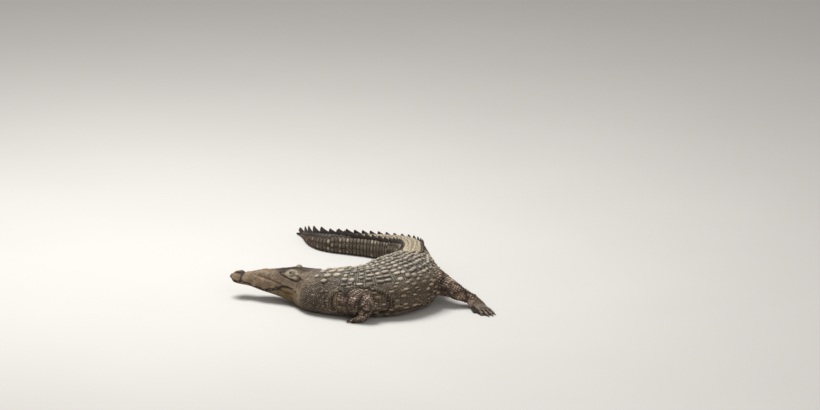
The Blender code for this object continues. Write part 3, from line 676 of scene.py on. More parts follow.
def hide_colour(shader, looks):
    """The animal's colour pattern with its painted shade and painted highlights, the same on the skin
    and on every scale.
    """
    along, up, leg = shader.attribute("place")
    tone, rise, accent = shader.attribute("scale")
    smooth, within, mix = shader.smooth, shader.smooth_within, shader.mix
    tail = smooth(along, HIP - 0.05, HIP + 0.20)
    head = 1 - smooth(along, 0.37, 0.47)
    colour = mix(smooth(up, 0.58, 0.95), looks.flank, looks.back)
    neck = within(along, 0.37, 0.45, SHOULDER - 0.06, SHOULDER + 0.04)
    colour = mix(neck * (1 - smooth(up, 0.80, 1.0) * 0.7), colour, looks.neck)
    colour = mix(tail, colour, mix(smooth(up, 0.70, 0.98), looks.tail, looks.back))
    root = within(along, HIP - 0.12, HIP + 0.04, HIP + 0.28, HIP + 0.50)
    colour = mix(root * smooth(up, 0.50, 0.90), colour, looks.tail_top)
    ridge = within(along, HIP - 0.05, HIP + 0.10, CREST_JOIN - 0.12, CREST_JOIN)
    colour = mix(ridge * smooth(up, 0.86, 0.95) * 0.8, colour, looks.tail_top)
    colour = mix(smooth(along, TAIL_TIP - 0.32, TAIL_TIP - 0.16), colour, looks.tip)
    colour = mix(head, colour, looks.head)
    jaw = head * smooth(along, 0.20, 0.32) * (1 - smooth(up, 0.36, 0.52))
    colour = mix(jaw * 0.85, colour, looks.jaw)
    jowl = within(along, 0.36, 0.40, 0.43, 0.48) * (1 - smooth(up, 0.20, 0.42))
    colour = mix(jowl * 0.8, colour, looks.jowl)
    skull = head * smooth(along, 0.17, 0.29) * smooth(up, 0.46, 0.72)
    colour = mix(skull * 0.9, colour, looks.skull)
    colour = mix(leg, colour, looks.leg)
    under = (1 - smooth(up, 0.02, 0.14)) * (1 - leg) * (1 - tail * 0.7) * (1 - head * 0.8)
    colour = mix(under, colour, looks.belly)
    patches, speckle = shader.noise(9.0, 4.0), shader.noise(75.0, 3.0)
    mottle, bands = shader.noise(34.0, 3.0), shader.noise(19.0, 2.0)
    dusty = smooth(up, 0.45, 1.0) * smooth(patches, 0.42, 0.68) * (1 - leg * 0.6) * (1 - head * 0.8)
    colour = mix(dusty * 0.30 * smooth(rise, 0.2, 0.9), colour, looks.dust)
    # Keels of the brighter scales painted pale: partly rubbed dry and pale, partly a painted highlight
    # on their tops
    worn_and_highlight = smooth(rise, 0.70, 1.0) * smooth(tone, 0.35, 1.0) * (1 - head * 0.8) * (1 - leg * 0.45)
    colour = mix(worn_and_highlight * looks.wear_and_highlight, colour, looks.worn_and_highlight)
    # Accent over 0.5 is painted pale: a painted highlight on ridges, lids and toe tops, and a pale ring
    # round the eye
    colour = mix(smooth(accent, 0.58, 0.90) * 0.45, colour, looks.worn_and_highlight)
    crest = 1 - smooth(accent, -1.0, -0.5)
    colour = mix(crest, colour, looks.crest)
    # Painted shade: folds, grooves, creases, the mouth line, the nostrils and the feet of the crest rows
    # (accent under 0.5) are painted dark
    fold_shade = looks.fold + (1 - looks.fold) * smooth(accent, 0.08, 0.46)
    fold_shade = fold_shade + (1.0 - fold_shade) * crest
    # Painted shade and highlight: a scale's low rim and the skin between scales painted darker, its top
    # and keel lighter
    light = looks.crevice_shade + (1.15 - looks.crevice_shade) * smooth(rise, 0.05, 0.90)
    varied = 0.66 + 0.40 * tone + 0.34 * patches + 0.22 * speckle
    varied = varied + head * (1.5 * (mottle - 0.5) + 0.5 * (bands - 0.5))
    varied = varied + leg * (0.9 * (mottle - 0.5) + 0.6 * smooth(bands, 0.38, 0.62) - 0.22)
    return shader.shade(colour, light * varied * 0.86 * fold_shade)


def hide_material(name, looks, cell_scale, cell_strength):
    """Dry scaly hide: colour pattern with painted shade and highlights, fine pores and a cracked horny
    surface.
    """
    shader = Shader(name)
    cracks, grain = shader.cracks(cell_scale), shader.noise(420.0, 4.0)
    colour = shader.shade(hide_colour(shader, looks), 0.72 + 0.28 * shader.smooth(cracks, 0.0, 0.12))
    shader.set(Base_Color=colour, Roughness=looks.roughness - 0.12 + 0.24 * grain,
               Specular_IOR_Level=0.35)
    shader.relief(shader.smooth(cracks, 0.0, 0.22) * cell_strength + grain * 0.35, 0.55, 0.0012)
    return shader.material


# Meshes.
def linked(name, data):
    item = bpy.data.objects.new(name, data)
    bpy.context.collection.objects.link(item)
    return item


def new_piece(name, mesh, material, slot, *nodes):
    """Link a finished mesh as a piece of the model."""
    mesh.materials.clear()
    mesh.materials.append(material)
    piece = linked(name, mesh)
    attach(piece, "root")
    if nodes:
        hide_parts(*nodes)


def mesh_from(bm, name):
    mesh = bpy.data.meshes.new(name)
    bm.to_mesh(mesh)
    bm.free()
    mesh.shade_smooth()
    return mesh


def joined(bms, name):
    bm = bmesh.new()
    for one in bms:
        part = mesh_from(one, "part")
        bm.from_mesh(part)
        bpy.data.meshes.remove(part)
    return mesh_from(bm, name)


def applied(item):
    """The mesh of an object with its modifiers; the object goes."""
    bpy.context.view_layer.update()
    graph = bpy.context.evaluated_depsgraph_get()
    mesh = bpy.data.meshes.new_from_object(item.evaluated_get(graph))
    bpy.data.objects.remove(item, do_unlink=True)
    return mesh


def bent_grid(rows, sides):
    """A flat grid to bend into a tube, with each point's row number and angle round the tube."""
    bm = bmesh.new()
    bmesh.ops.create_grid(bm, x_segments=rows - 1, y_segments=sides, size=0.5)
    share = np.array([vert.co for vert in bm.verts]) + 0.5
    row = np.rint(share[:, 0] * (rows - 1)).astype(int)
    return bm, row, np.rint(share[:, 1] * sides) / sides * 2 * math.pi


def bend(bm, places):
    """Move a grid's points to their places on the tube, and close its seam and ends."""
    for vert, place in zip(bm.verts, places):
        vert.co = place
    bmesh.ops.remove_doubles(bm, verts=bm.verts, dist=1e-6)
    bmesh.ops.holes_fill(bm, edges=[edge for edge in bm.edges if edge.is_boundary], sides=0)
    bmesh.ops.recalc_face_normals(bm, faces=bm.faces)


def lofted(rows, sides, point):
    """A closed tube through the rows of places that point(row, angle) gives."""
    bm, row, angle = bent_grid(len(rows), sides)
    bend(bm, point(np.asarray(rows)[row], angle))
    if bm.calc_volume(signed=True) < 0:
        bmesh.ops.reverse_faces(bm, faces=bm.faces)
    return bm


def points_of(mesh):
    flat = np.empty(len(mesh.vertices) * 3)
    mesh.vertices.foreach_get("co", flat)
    return flat.reshape(-1, 3)


def keep_numbers(mesh, name, values):
    """Store three numbers for each point, for the materials."""
    layer = mesh.attributes.new(name, "FLOAT_VECTOR", "POINT")
    layer.data.foreach_set("vector", np.ascontiguousarray(values, np.float32).ravel())


def off_bone(points, start, end):
    """How far along a bone points lie, 0 to 1, and the way to each from its nearest place."""
    run = end - start
    share = np.clip((points - start) @ run / (run @ run), 0, 1)
    return share, points - start - share[:, None] * run


BATCH = 4096            # points worked on at once, to save memory
SPINE_SAMPLES = np.arange(0, TAIL_TIP, 0.01)
SPINE_TRACK = on_spine(SPINE_SAMPLES, 0, 0)[:, :2]


def beside_spine(points):
    """s and the distance to the animal's left for each point."""
    along = np.empty(len(points))
    for start in range(0, len(points), BATCH):
        part = slice(start, start + BATCH)
        gap = points[part, None, :2] - SPINE_TRACK[None]
        along[part] = SPINE_SAMPLES[np.hypot(gap[..., 0], gap[..., 1]).argmin(axis=1)]
    tailward, left = directions(along)
    gap = points - on_spine(along, 0, points[:, 2])
    return along + (gap * tailward).sum(axis=1), (gap * left).sum(axis=1)


def places_and_painted_light(points):
    """For each point: s, its height as a share of the body's there, whether it is on a leg, and its
    accent: over 0.5 a painted highlight on a ridge, under 0.5 painted shade in a fold."""
    along, side = beside_spine(points)
    top, bottom = profile("top", along), profile("bottom", along)
    out, height = np.abs(side), points[:, 2]
    up = (height - bottom) / (top - bottom)
    limb = np.max([limb_share(leg, points) for leg in LEGS], axis=0)
    outside = rise_over(out - profile("half", along), -0.030, 0.012)
    limb = limb * np.maximum(outside, rise_over(-up, -0.25, -0.1))
    folds = relief(along, side, height) * (1 - limb)
    from_eye = np.hypot((along - EYE_S) / 0.032, (height - EYE_HEIGHT) / 0.015)
    ring = 0.35 * bump(from_eye - 0.85, 0.32) * (out > 0.025)
    # Painted shadow: the mouth line under the upper lip, a ring round the nasal disc and the nostrils
    # are painted dark
    mouth = height - profile("mouth", along)
    lips = bump(mouth + 0.001, 0.0068) * within(along, 0.09, 0.16, 0.27, 0.33)
    disc = bump(np.hypot(along - 0.031, mouth - 0.022) - 0.028, 0.0055) * (along < 0.07)
    nostrils = 1.4 * bump(near_line(along, out, *NOSTRIL), 0.0095) * (mouth > 0.02)
    dark = np.max([lips, disc, nostrils], axis=0) * (limb < 0.5)
    band = within(along, 0.20, 0.27, 0.42, 0.45)
    band = rise_over(-out, -0.040, -0.024) * rise_over(up, 0.84, 0.94) * band
    # Painted shade along the foot of each row of the crest
    row = np.abs(out - smooth_through(CREST_SPREAD, along))
    row = bump(row, 0.008) * rise_over(up, 0.80, 0.90) * (1 - limb) * (along > CREST_START)
    # Painted highlight on the relief's ridges and painted shade in its grooves
    accent = 0.5 + 62 * np.minimum(folds, 0.004) + ring - 0.5 * dark - 0.24 * band - 0.7 * row
    accent = np.clip(accent, 0, 1)
    for leg in LEGS:
        # Painted highlight along the tops of the toes and on the legs' ridges; painted shade between the
        # toes, inside elbows and knees and in the legs' creases
        toe_highlight, between = toes_at(leg, points)
        accent = accent + 0.50 * toe_highlight - 0.80 * between - 0.6 * elbow_fold(leg, points)
        place, around, far = leg_unwrap(leg, points)
        crease, ridge = limb_creases(place * (len(leg.joints) - 1), around * 2 * math.pi)
        accent = np.clip(accent + (far < 0.09) * limb * (0.45 * ridge - 0.42 * crease), 0, 1)
    return np.stack([along, up, limb, accent], axis=1)


def toes_at(leg, points):
    """How much each point lies along the top of a toe, and how much between two toes."""
    tailward, outward = to_girdle(leg, points)
    nearest, part = np.full(len(points), 9.0), np.zeros(len(points))
    for number in range(leg.toes):
        root, tip = toe_line(leg, number, 0.0), toe_line(leg, number, 1.0)
        run = (tip - root)[:2]
        t = ((tailward - root[0]) * run[0] + (outward - root[1]) * run[1]) / (run @ run)
        inside = np.clip(t, 0, 1)
        off = np.hypot(tailward - root[0] - inside * run[0], outward - root[1] - inside * run[1])
        off = off / toe_radius(leg, inside)
        part = np.where(off < nearest, t, part)
        nearest = np.minimum(off, nearest)
    toes = rise_over(part, -0.10, 0.20) * (points[:, 2] < 0.06)
    toe_highlight = toes * (1 - rise_over(nearest, 0.15, 0.60)) * (nearest < 1.2)
    return toe_highlight, toes * rise_over(nearest, 0.50, 0.85) * (nearest < 2.2)


def elbow_fold(leg, points):
    """1 in the crease inside an elbow or knee."""
    before, bend_at, after = from_girdle(leg, np.array(leg.joints[1:4]))
    near = []
    for end, widths in ((before, leg.widths[1:3][::-1]), (after, leg.widths[2:4])):
        share, gap = off_bone(points, bend_at, end)
        near.append(np.linalg.norm(gap, axis=1) / (np.interp(share, (0, 1), widths) / 2))
    inner = unit(before - bend_at) + unit(after - bend_at)
    inside = rise_over((points - bend_at) @ inner, 0.004, 0.016)
    return bump(near[0] - near[1], 0.14) * inside * (near[0] < 1.5)


def limb_share(leg, points):
    """1 on a leg, 0 well away from it."""
    joints = from_girdle(leg, np.array(leg.joints))
    found = np.zeros(len(points))
    for number in range(1, len(joints) - 1):
        share, gap = off_bone(points, joints[number], joints[number + 1])
        radius = np.interp(share, (0, 1), leg.widths[number:number + 2]) / 2
        inside = radius + 0.020 - np.linalg.norm(gap, axis=1)
        found = np.maximum(found, rise_over(inside, -0.010, 0.016))
    return found


def leg_unwrap(leg, points):
    """How far along a leg each point lies, its angle round the leg, and its distance from it."""
    joints = from_girdle(leg, np.array(leg.joints))
    far, along, around = (np.full(len(points), value) for value in (9.0, 0.0, 0.0))
    for number, (start, end) in enumerate(zip(joints[:-1], joints[1:])):
        share, gap = off_bone(points, start, end)
        across = unit(np.cross(end - start, (0, 0, 1)) + (1e-6, 0, 0))
        over = np.cross(across, unit(end - start))
        distance = np.linalg.norm(gap, axis=1)
        near = distance < far
        far = np.where(near, distance, far)
        along = np.where(near, (number + share) / (len(joints) - 1), along)
        around = np.where(near, np.arctan2(gap @ over, gap @ across) / (2 * math.pi) % 1, around)
    return along, around, far


# The skin.
ROUND_END = np.array((0.30, 0.55, 0.80, 0.93, 0.99))     # rows of a rounded end
SNOUT_ROWS = np.array((1.0, 0.985, 0.93, 0.80, 0.60, 0.30))
TAIL_ROWS = np.array((0.0, 0.5, 0.8, 0.95, 1.0))
LIMB_ROWS = 14          # between two joints of a leg
LIMB_COLUMNS = 32
TOE_ROWS = 22
TOE_COLUMNS = 16
SEAM_RINGS = 3
SEAM_PASSES = 8


def body_rows(coat):
    head = np.arange(0, HEAD_LENGTH, coat.head_row)
    body = np.arange(HEAD_LENGTH, TAIL_TIP, coat.body_row)
    return np.concatenate([-SNOUT_ROUND * SNOUT_ROWS, head, body, TAIL_TIP + TAIL_ROUND * TAIL_ROWS])


def limb_stretch(leg, joint, count, grow, open_root=False):
    """A stretch of a leg with round ends."""
    length = length_of(leg.joints[joint:joint + count + 1])
    start, end = (leg.depths[number] / 2 + grow for number in (joint, joint + count))
    rows = [np.linspace(0, 1, 1 + LIMB_ROWS * count), 1 + end / length * ROUND_END]
    if not open_root:
        rows.insert(0, -start / length * ROUND_END[::-1])
    return lofted(np.concatenate(rows), LIMB_COLUMNS,
                  lambda u, angle: limb_point(leg, joint, count, u, angle, grow))


def toe_point(leg, number, part, angle, grow=0.0):
    """A point on a toe's surface, with a knuckle at each joint."""
    centre = np.array([toe_line(leg, number, one) for one in part])
    ahead = toe_line(leg, number, 1.0) - toe_line(leg, number, 0.8)
    flat = np.array((-ahead[1], ahead[0], 0)) / math.hypot(ahead[0], ahead[1])
    knuckles = 1 + 0.10 * np.cos(part * 2 * math.pi * 3)
    tip = np.sqrt(np.clip(1 - (np.clip(part - 0.90, 0, None) / 0.14) ** 2, 0.02, 1))
    radius = (toe_radius(leg, np.minimum(part, 1.0)) * knuckles + grow) * tip
    ring = centre + flat * (radius * np.cos(angle))[:, None]
    ring[:, 2] += radius * np.sin(angle)
    return from_girdle(leg, ring)


def leg_mesh(leg, coat):
    """One leg from its root to its toe tips, all in one skin."""
    stretches = [limb_stretch(leg, 0, 2, -coat.depth, True), limb_stretch(leg, 2, 1, -coat.depth),
                 limb_stretch(palm_of(leg), 3, 1, -coat.depth * 0.4)]
    for number in range(leg.toes):
        stretches.append(lofted(np.linspace(0, 1.03, TOE_ROWS), TOE_COLUMNS,
                                lambda part, angle: toe_point(leg, number, part, angle, -0.0006)))
    item = linked("scratch", joined(stretches, leg.name))
    fused = item.modifiers.new("Fused", "REMESH")
    fused.mode = "VOXEL"
    fused.voxel_size = coat.leg_grain
    soft = item.modifiers.new("Soft", "SMOOTH")
    soft.factor = 0.5
    soft.iterations = 3
    mesh = applied(item)
    points = points_of(mesh)
    points[:, 2] *= 1 - 0.45 * toes_at(leg, points)[1]
    mesh.vertices.foreach_set("co", points.ravel())
    return mesh


def soften_seams(mesh):
    """Turn the sharp line where a leg meets the body into a soft fold."""
    bm = bmesh.new()
    bm.from_mesh(mesh)
    seam = set()
    for edge in bm.edges:
        if len({face.material_index for face in edge.link_faces}) == 2:
            seam.update(edge.verts)
    for _ in range(SEAM_RINGS):
        seam |= {edge.other_vert(vert) for vert in seam for edge in vert.link_edges}
    for _ in range(SEAM_PASSES):
        bmesh.ops.smooth_vert(bm, verts=list(seam), factor=0.5, use_axis_x=True, use_axis_y=True,
                              use_axis_z=True)
    for face in bm.faces:
        face.material_index = 0
        face.smooth = True
    bm.to_mesh(mesh)
    bm.free()


def make_skin(coat, looks):
    """The one skin over head, trunk, tail and legs."""
    body = lofted(body_rows(coat), coat.columns, lambda s, angle: surface(s, angle, -coat.depth))
    item = linked("scratch", mesh_from(body, "skin"))
    sides = [bpy.data.materials.new(name) for name in ("body side", "leg side")]
    limbs = [linked("scratch", leg_mesh(leg, coat)) for leg in LEGS]
    for scratch in [item] + limbs:
        for side in sides:
            scratch.data.materials.append(side)
    for limb in limbs:
        limb.data.polygons.foreach_set("material_index", np.ones(len(limb.data.polygons), int))
        limb.hide_render = True
        union = item.modifiers.new("Leg", "BOOLEAN")
        union.operation = "UNION"
        union.object = limb
    mesh = applied(item)
    for limb in limbs:
        bpy.data.objects.remove(limb, do_unlink=True)
    soften_seams(mesh)
    marks = places_and_painted_light(points_of(mesh))
    keep_numbers(mesh, "place", marks[:, :3])
    # The skin's rise sets its painted shade: low on the trunk and tail, so the bare skin between the
    # scales is painted dark there
    bare = np.interp(marks[:, 0], (0.40, 0.50, 0.64, TAIL_TIP), (0.72, 0.42, 0.10, 0.10))
    bare = np.maximum(bare, 0.36 * marks[:, 2])
    keep_numbers(mesh, "scale", np.stack([np.full(len(bare), 0.5), bare, marks[:, 3]], axis=1))
    new_piece("skin", mesh, hide_material("hide", looks, 115.0, 0.8), "trunk", *FLESH)


# Scales.
Template = namedtuple("Template", "points faces rise")
Zone = namedtuple("Zone", "start end top bottom track length width")
UNDER = 0.003           # how far under the plain body the skin is looked for
FINE = 0.004            # the step at which rows and directions are measured
FINE_ANGLES = 121
UNWRAP_PATCH = 0.0015   # half a scale's size on the unwrap
COVERED = []            # (centres, radii) of all scales laid so far


def template_of(bm, points, rise):
    """A shape to copy, from the faces of a bmesh and new places of its points."""
    bm.verts.index_update()
    faces = [[vert.index for vert in face.verts] for face in bm.faces]
    bm.free()
    return Template(points, faces, rise)


def dome(corners, square, keel):
    """One scale within +-1 along and across, as a closed low dome with a keel."""
    bm = bmesh.new()
    bmesh.ops.create_cone(bm, cap_ends=True, segments=corners, radius1=1.0, radius2=0.86, depth=1.0)
    top = max(bm.faces, key=lambda face: face.calc_center_median().z)
    bmesh.ops.inset_region(bm, faces=[top], thickness=0.38)
    bmesh.ops.poke(bm, faces=[top])
    points = np.array([vert.co for vert in bm.verts])
    radius = np.hypot(points[:, 0], points[:, 1])
    base = points[:, 2] < 0
    rise = np.where(base, 0.0, np.interp(radius, (0, 0.5, 0.86), (1.0, 0.88, 0.52)))
    rise = rise + np.where(base, 0, (1 - rise) * keel * bump(points[:, 1], 0.30))
    power = (np.abs(points[:, 0]) ** square + np.abs(points[:, 1]) ** square) ** (1 / square)
    points[:, :2] *= (radius / np.maximum(power, 1e-6))[:, None]
    points[:, 2] = np.where(base, -0.45, rise)
    return template_of(bm, points, np.where(base, 0.0, rise))


def tiled(name, template, places, tone, roots, material, slot, accent=None):
    """One piece of many scales: places holds every copy's points."""
    count, size = places.shape[:2]
    loops = np.concatenate(template.faces)
    totals = np.array([len(face) for face in template.faces])
    starts = np.concatenate([[0], np.cumsum(totals)[:-1]])
    copies = np.arange(count)[:, None]
    mesh = bpy.data.meshes.new(name)
    mesh.vertices.add(count * size)
    mesh.vertices.foreach_set("co", places.astype(np.float32).ravel())
    mesh.loops.add(count * len(loops))
    mesh.loops.foreach_set("vertex_index", (loops + copies * size).astype(np.int32).ravel())
    mesh.polygons.add(count * len(totals))
    mesh.polygons.foreach_set("loop_start", (starts + copies * len(loops)).astype(np.int32).ravel())
    mesh.update(calc_edges=True)
    mesh.shade_smooth()
    unwrap = mesh.uv_layers.new(name="OFBake")
    spots = np.clip(roots, 0.002, 0.998)[:, None, :] + template.points[loops, :2] * UNWRAP_PATCH
    unwrap.data.foreach_set("uv", spots.astype(np.float32).ravel())
    centre = places.mean(axis=1)
    COVERED.append((centre, np.linalg.norm(places - centre[:, None], axis=2).max(axis=1)))
    marks = np.repeat(places_and_painted_light(centre), size, axis=0)
    keep_numbers(mesh, "place", marks[:, :3])
    accent = marks[:, 3] if accent is None else np.full(count * size, accent)
    # A point's rise in its scale sets the painted shade of rims and the painted highlight of keels
    keep_numbers(mesh, "scale", np.stack([np.repeat(tone, size), np.tile(template.rise, count), accent],
                                         axis=1))
    new_piece(name, mesh, material, slot)


def way_along(points):
    """The length run so far at each of a line's points."""
    return np.concatenate([[0], np.cumsum(np.linalg.norm(np.diff(points, axis=0), axis=1))])


def way_down(s, side):
    """Angles from the back's middle line down one side to the belly's, and the length so far."""
    angle = math.pi / 2 - side * np.linspace(0, math.pi, FINE_ANGLES)
    return angle, way_along(surface(np.full(FINE_ANGLES, s), angle))


def rows_along(zone, side):
    """Places of the rows, evenly spaced along the body's side at the zone's track."""
    fine = np.arange(zone.start, zone.end, FINE)
    angle = []
    for s in fine[::5]:
        around, way = way_down(s, side)
        angle.append(np.interp(zone.track * way[-1], way, around))
    way = way_along(surface(fine, np.interp(fine, fine[::5], angle)))
    count = max(1, round(way[-1] / zone.length))
    middles = np.interp((np.arange(count) + 0.5) * way[-1] / count, way, fine)
    edges = np.interp(np.arange(count + 1) * way[-1] / count, way, fine)
    return middles, np.diff(edges)


def zone_places(zone, stagger):
    """Every scale of a zone: s, angle, length in s and width in angle, on both sides."""
    found = []
    for side in (1, -1):
        for number, (s, length) in enumerate(zip(*rows_along(zone, side))):
            around, way = way_down(s, side)
            low, high = zone.top * way[-1], zone.bottom * way[-1]
            count = max(1, round((high - low) / zone.width))
            shift = 0.5 if not stagger else (0.25 if number % 2 else 0.75)
            middle = low + (np.arange(count) + shift) * (high - low) / count
            half = (high - low) / count / 2
            angle = np.interp(middle, way, around)
            span = np.abs(np.interp(middle + half, way, around) - np.interp(middle - half, way, around))
            found.append(np.stack([np.full(count, s), angle, np.full(count, length), span], axis=1))
    return np.concatenate(found)


def on_floor(places):
    places[..., 2] = np.maximum(places[..., 2], FLOOR)
    return places


def fitted(template, places, height, fill, depth):
    """Scales whose every point follows the body's surface."""
    shape = template.points
    s = places[:, 0:1] + shape[None, :, 0] * places[:, 2:3] / 2 * fill
    angle = places[:, 1:2] + shape[None, :, 1] * places[:, 3:4] / 2 * fill
    return on_floor(surface(s, angle, shape[None, :, 2] * np.asarray(height).reshape(-1, 1) - depth))


def lie_on(tree, points, ahead, reach):
    """The nearest places on the skin with their normals and forward directions."""
    found = [tree.find_nearest(Vector(point), reach) for point in points]
    kept = np.array([hit[0] is not None for hit in found])
    spot, normal = (np.array([hit[part] for hit in found if hit[0] is not None]) for part in (0, 1))
    ahead = ahead[kept]
    return kept, spot, normal, unit(ahead - normal * (ahead * normal).sum(axis=1, keepdims=True))


def laid(template, spot, normal, ahead, size, tilt=0.0):
    """Scales of a length, width and height laid on the skin, their rear edges lifted by the tilt."""
    across = np.cross(normal, ahead)
    length, width, height = (np.asarray(one).reshape(-1, 1, 1) for one in size)
    x = template.points[None, :, 0, None] * (length / 2)
    y = template.points[None, :, 1, None] * (width / 2)
    lift = tilt * np.where(template.points[:, 2] > 0, template.points[:, 0], 0)
    z = (template.points[:, 2] + lift)[None, :, None] * height
    return on_floor(spot[:, None] + x * ahead[:, None] + y * across[:, None] + z * normal[:, None])


def body_unwrap(places):
    """Where a scale's root lies on the flat unwrap of the body."""
    return np.stack([(places[:, 1] / (2 * math.pi)) % 1.0, places[:, 0] / TAIL_TIP], axis=1)


def shaken(random, count, amount):
    return (random.random(count) - 0.5) * amount


def off_legs(tree, places):
    """The places whose skin no leg covers."""
    points = surface(places[:, 0], places[:, 1], -UNDER)
    near = [tree.find_nearest(Vector(point), 0.005)[0] is not None for point in points]
    return places[np.array(near)]


def body_scales(name, tree, places, template, size, material, tilt=0.0, reach=0.006):
    """A piece of small scales of a length, width and height laid on the body's skin."""
    points = surface(places[:, 0], places[:, 1], -UNDER)
    ahead = surface(places[:, 0] + FINE, places[:, 1]) - surface(places[:, 0] - FINE, places[:, 1])
    kept, spot, normal, ahead = lie_on(tree, points, ahead, reach)
    size = [np.broadcast_to(one, len(places))[kept] for one in size]
    where = laid(template, spot, normal, ahead, size, tilt)
    tone = np.random.default_rng(len(places)).random(kept.sum())
    tiled(name, template, where, tone, body_unwrap(places[kept]), material, "trunk")


def make_back(tree, coat, material):
    """Keeled scutes in rows down the back."""
    template = dome(14, 3.0, 1.0)
    zone = Zone(SHOULDER + 0.015, HIP + 0.055, 0.0, 0.33, 0.0, coat.back_length, coat.back_width)
    places = off_legs(tree, zone_places(zone, False))
    count = len(places)
    random = np.random.default_rng(3)
    tone = 1.2 * random.random(count) - 0.05
    height = coat.back_height * (0.75 + 0.5 * random.random(count))
    places[:, 0] += shaken(random, count, coat.back_length * 0.38)
    places[:, 1] += shaken(random, count, places[:, 3] * 0.36)
    places[:, 2] *= 0.62 + 0.42 * random.random(count)
    places[:, 3] *= 0.50 + 0.48 * random.random(count)
    where = fitted(template, places, height, 0.92, coat.depth)
    tiled("back_scutes", template, where, tone, body_unwrap(places), material, "trunk")


# The large scutes behind the skull: (behind the head, from the middle, length, width).
NAPE = ((0.052, 0.026, 0.030, 0.030), (0.052, 0.074, 0.026, 0.026),
        (0.104, 0.024, 0.044, 0.040), (0.104, 0.070, 0.040, 0.036), (0.106, 0.112, 0.030, 0.028),
        (0.148, 0.026, 0.040, 0.040), (0.148, 0.072, 0.036, 0.034))


def make_nape(coat, material):
    template = dome(14, 3.2, 1.0)
    places = []
    for behind, aside, length, width in NAPE:
        for side in (1, -1):
            s = HEAD_LENGTH + behind
            around, way = way_down(s, side)
            edges = np.interp((aside + width / 2, max(aside - width / 2, 0)), way, around)
            places.append((s, np.interp(aside, way, around), length, abs(edges[0] - edges[1])))
    places = np.array(places)
    where = fitted(template, places, 0.0150, 1.0, coat.depth)
    tiled("nape_scutes", template, where, np.linspace(0.75, 1.0, len(places)), body_unwrap(places),
          material, "neck")


def make_flank(tree, coat, material):
    """Rows of keeled ovals on the flanks, and the small scales between them."""
    zone = Zone(SHOULDER - 0.10, HIP + 0.075, 0.33, 0.80, 0.55, coat.flank_length * 1.30,
                coat.flank_width * 1.40)
    ovals = zone_places(zone, True)
    random = np.random.default_rng(5)
    ovals[:, 0] += shaken(random, len(ovals), coat.flank_length * 0.60)
    ovals[:, 1] += shaken(random, len(ovals), ovals[:, 3] * 0.50)
    ovals = ovals[random.random(len(ovals)) > 0.12]
    size = 0.62 + 0.52 * random.random(len(ovals))
    size = size * np.interp(ovals[:, 0], (SHOULDER - 0.10, SHOULDER + 0.15), (0.6, 1.0))
    sizes = coat.flank_length * size, coat.flank_width * size, coat.flank_height * size
    body_scales("flank_scales", tree, ovals, dome(12, 2.2, 1.0), sizes, material, 0.15)
    grain = coat.grain * 1.12
    grains = zone_places(zone._replace(start=SHOULDER - 0.02, length=grain, width=grain), True)
    centres = surface(ovals[:, 0], ovals[:, 1])
    points = surface(grains[:, 0], grains[:, 1])
    clear = np.empty(len(points), bool)
    for start in range(0, len(points), BATCH):
        gap = np.linalg.norm(points[start:start + BATCH, None] - centres[None], axis=2)
        clear[start:start + BATCH] = gap.min(axis=1) > coat.flank_width * 0.60
    body_scales("flank_grains", tree, grains[clear], dome(7, 2.0, 0.0),
                (coat.grain, coat.grain * 0.9, 0.0026), material)


def make_belly(tree, coat, material):
    """Flat square plates under the trunk."""
    zone = Zone(SHOULDER - 0.05, HIP + 0.03, 0.80, 1.0, 1.0, coat.belly_length, coat.belly_width)
    places = off_legs(tree, zone_places(zone, False))
    template = dome(8, 5.0, 0.0)
    where = fitted(template, places, 0.0028, 0.94, coat.depth)
    tone = np.random.default_rng(7).random(len(places))
    tiled("belly_plates", template, where, tone, body_unwrap(places), material, "trunk")


def make_neck(tree, coat, material):
    """Granules of the neck and nape, and the larger scales of the throat."""
    grain = coat.grain * 1.5
    places = zone_places(Zone(HEAD_LENGTH - 0.005, SHOULDER + 0.02, 0.0, 0.72, 0.50, grain, grain), True)
    on_top = surface(places[:, 0], places[:, 1])[:, 2] > 0.16
    size = grain * (0.72 + 0.35 * np.random.default_rng(11).random(len(places)))
    body_scales("neck_scales", tree, places, dome(8, 2.1, 0.5),
                (size, size * 0.9, 0.0026 + 0.0016 * on_top), material)
    places = zone_places(Zone(0.30, SHOULDER - 0.02, 0.72, 1.0, 0.9, 0.0125, 0.0125), True)
    body_scales("throat_scales", tree, places, dome(8, 3.0, 0.0), (0.0115, 0.0115, 0.0022), material)


def make_tail(coat, material):
    """Rings of square plates round the tail, two rings to each blade of the crest."""
    template = dome(10, 5.0, 0.5)
    groups = []
    for s in np.arange(CREST_START + WHORL * 2.5, CREST_END, WHORL / 2):
        for side in (1, -1):
            around, way = way_down(s, side)
            count = max(3, round(way[-1] / (coat.tail_width * (0.55 + 0.45 * (TAIL_TIP - s)))))
            edge = np.interp(np.arange(count + 1) / count * way[-1], way, around)
            if s < CREST_JOIN - 0.20:
                share = 0.42 + 0.16 * math.sin(s * 480)
                edge = np.insert(edge, 1, edge[0] + (edge[1] - edge[0]) * share)
            rest = np.ones(len(edge) - 1)
            middle = (edge[1:] + edge[:-1]) / 2
            groups.append(np.stack([s * rest, middle, WHORL / 2 * rest, np.abs(np.diff(edge))], axis=1))
    places = np.concatenate(groups)
    height = 0.0040 * np.interp(places[:, 0], (HIP, TAIL_TIP), (1, 0.6))
    where = fitted(template, places, height, 0.96, coat.depth)
    random = np.random.default_rng(13)
    rings, ring = np.unique(places[:, 0], return_inverse=True)
    tone = 0.50 * random.random(len(places)) + 0.48 * random.random(len(rings))[ring]
    tiled("tail_plates", template, where, tone, body_unwrap(places), material, "tail_2")


def back_height(s, side):
    """How high the back is at a distance to the side of the spine."""
    out, level = section(np.full(60, s), np.linspace(0, math.pi / 2, 60), 0.0)
    return float(np.interp(abs(side), out[::-1], level[::-1]))


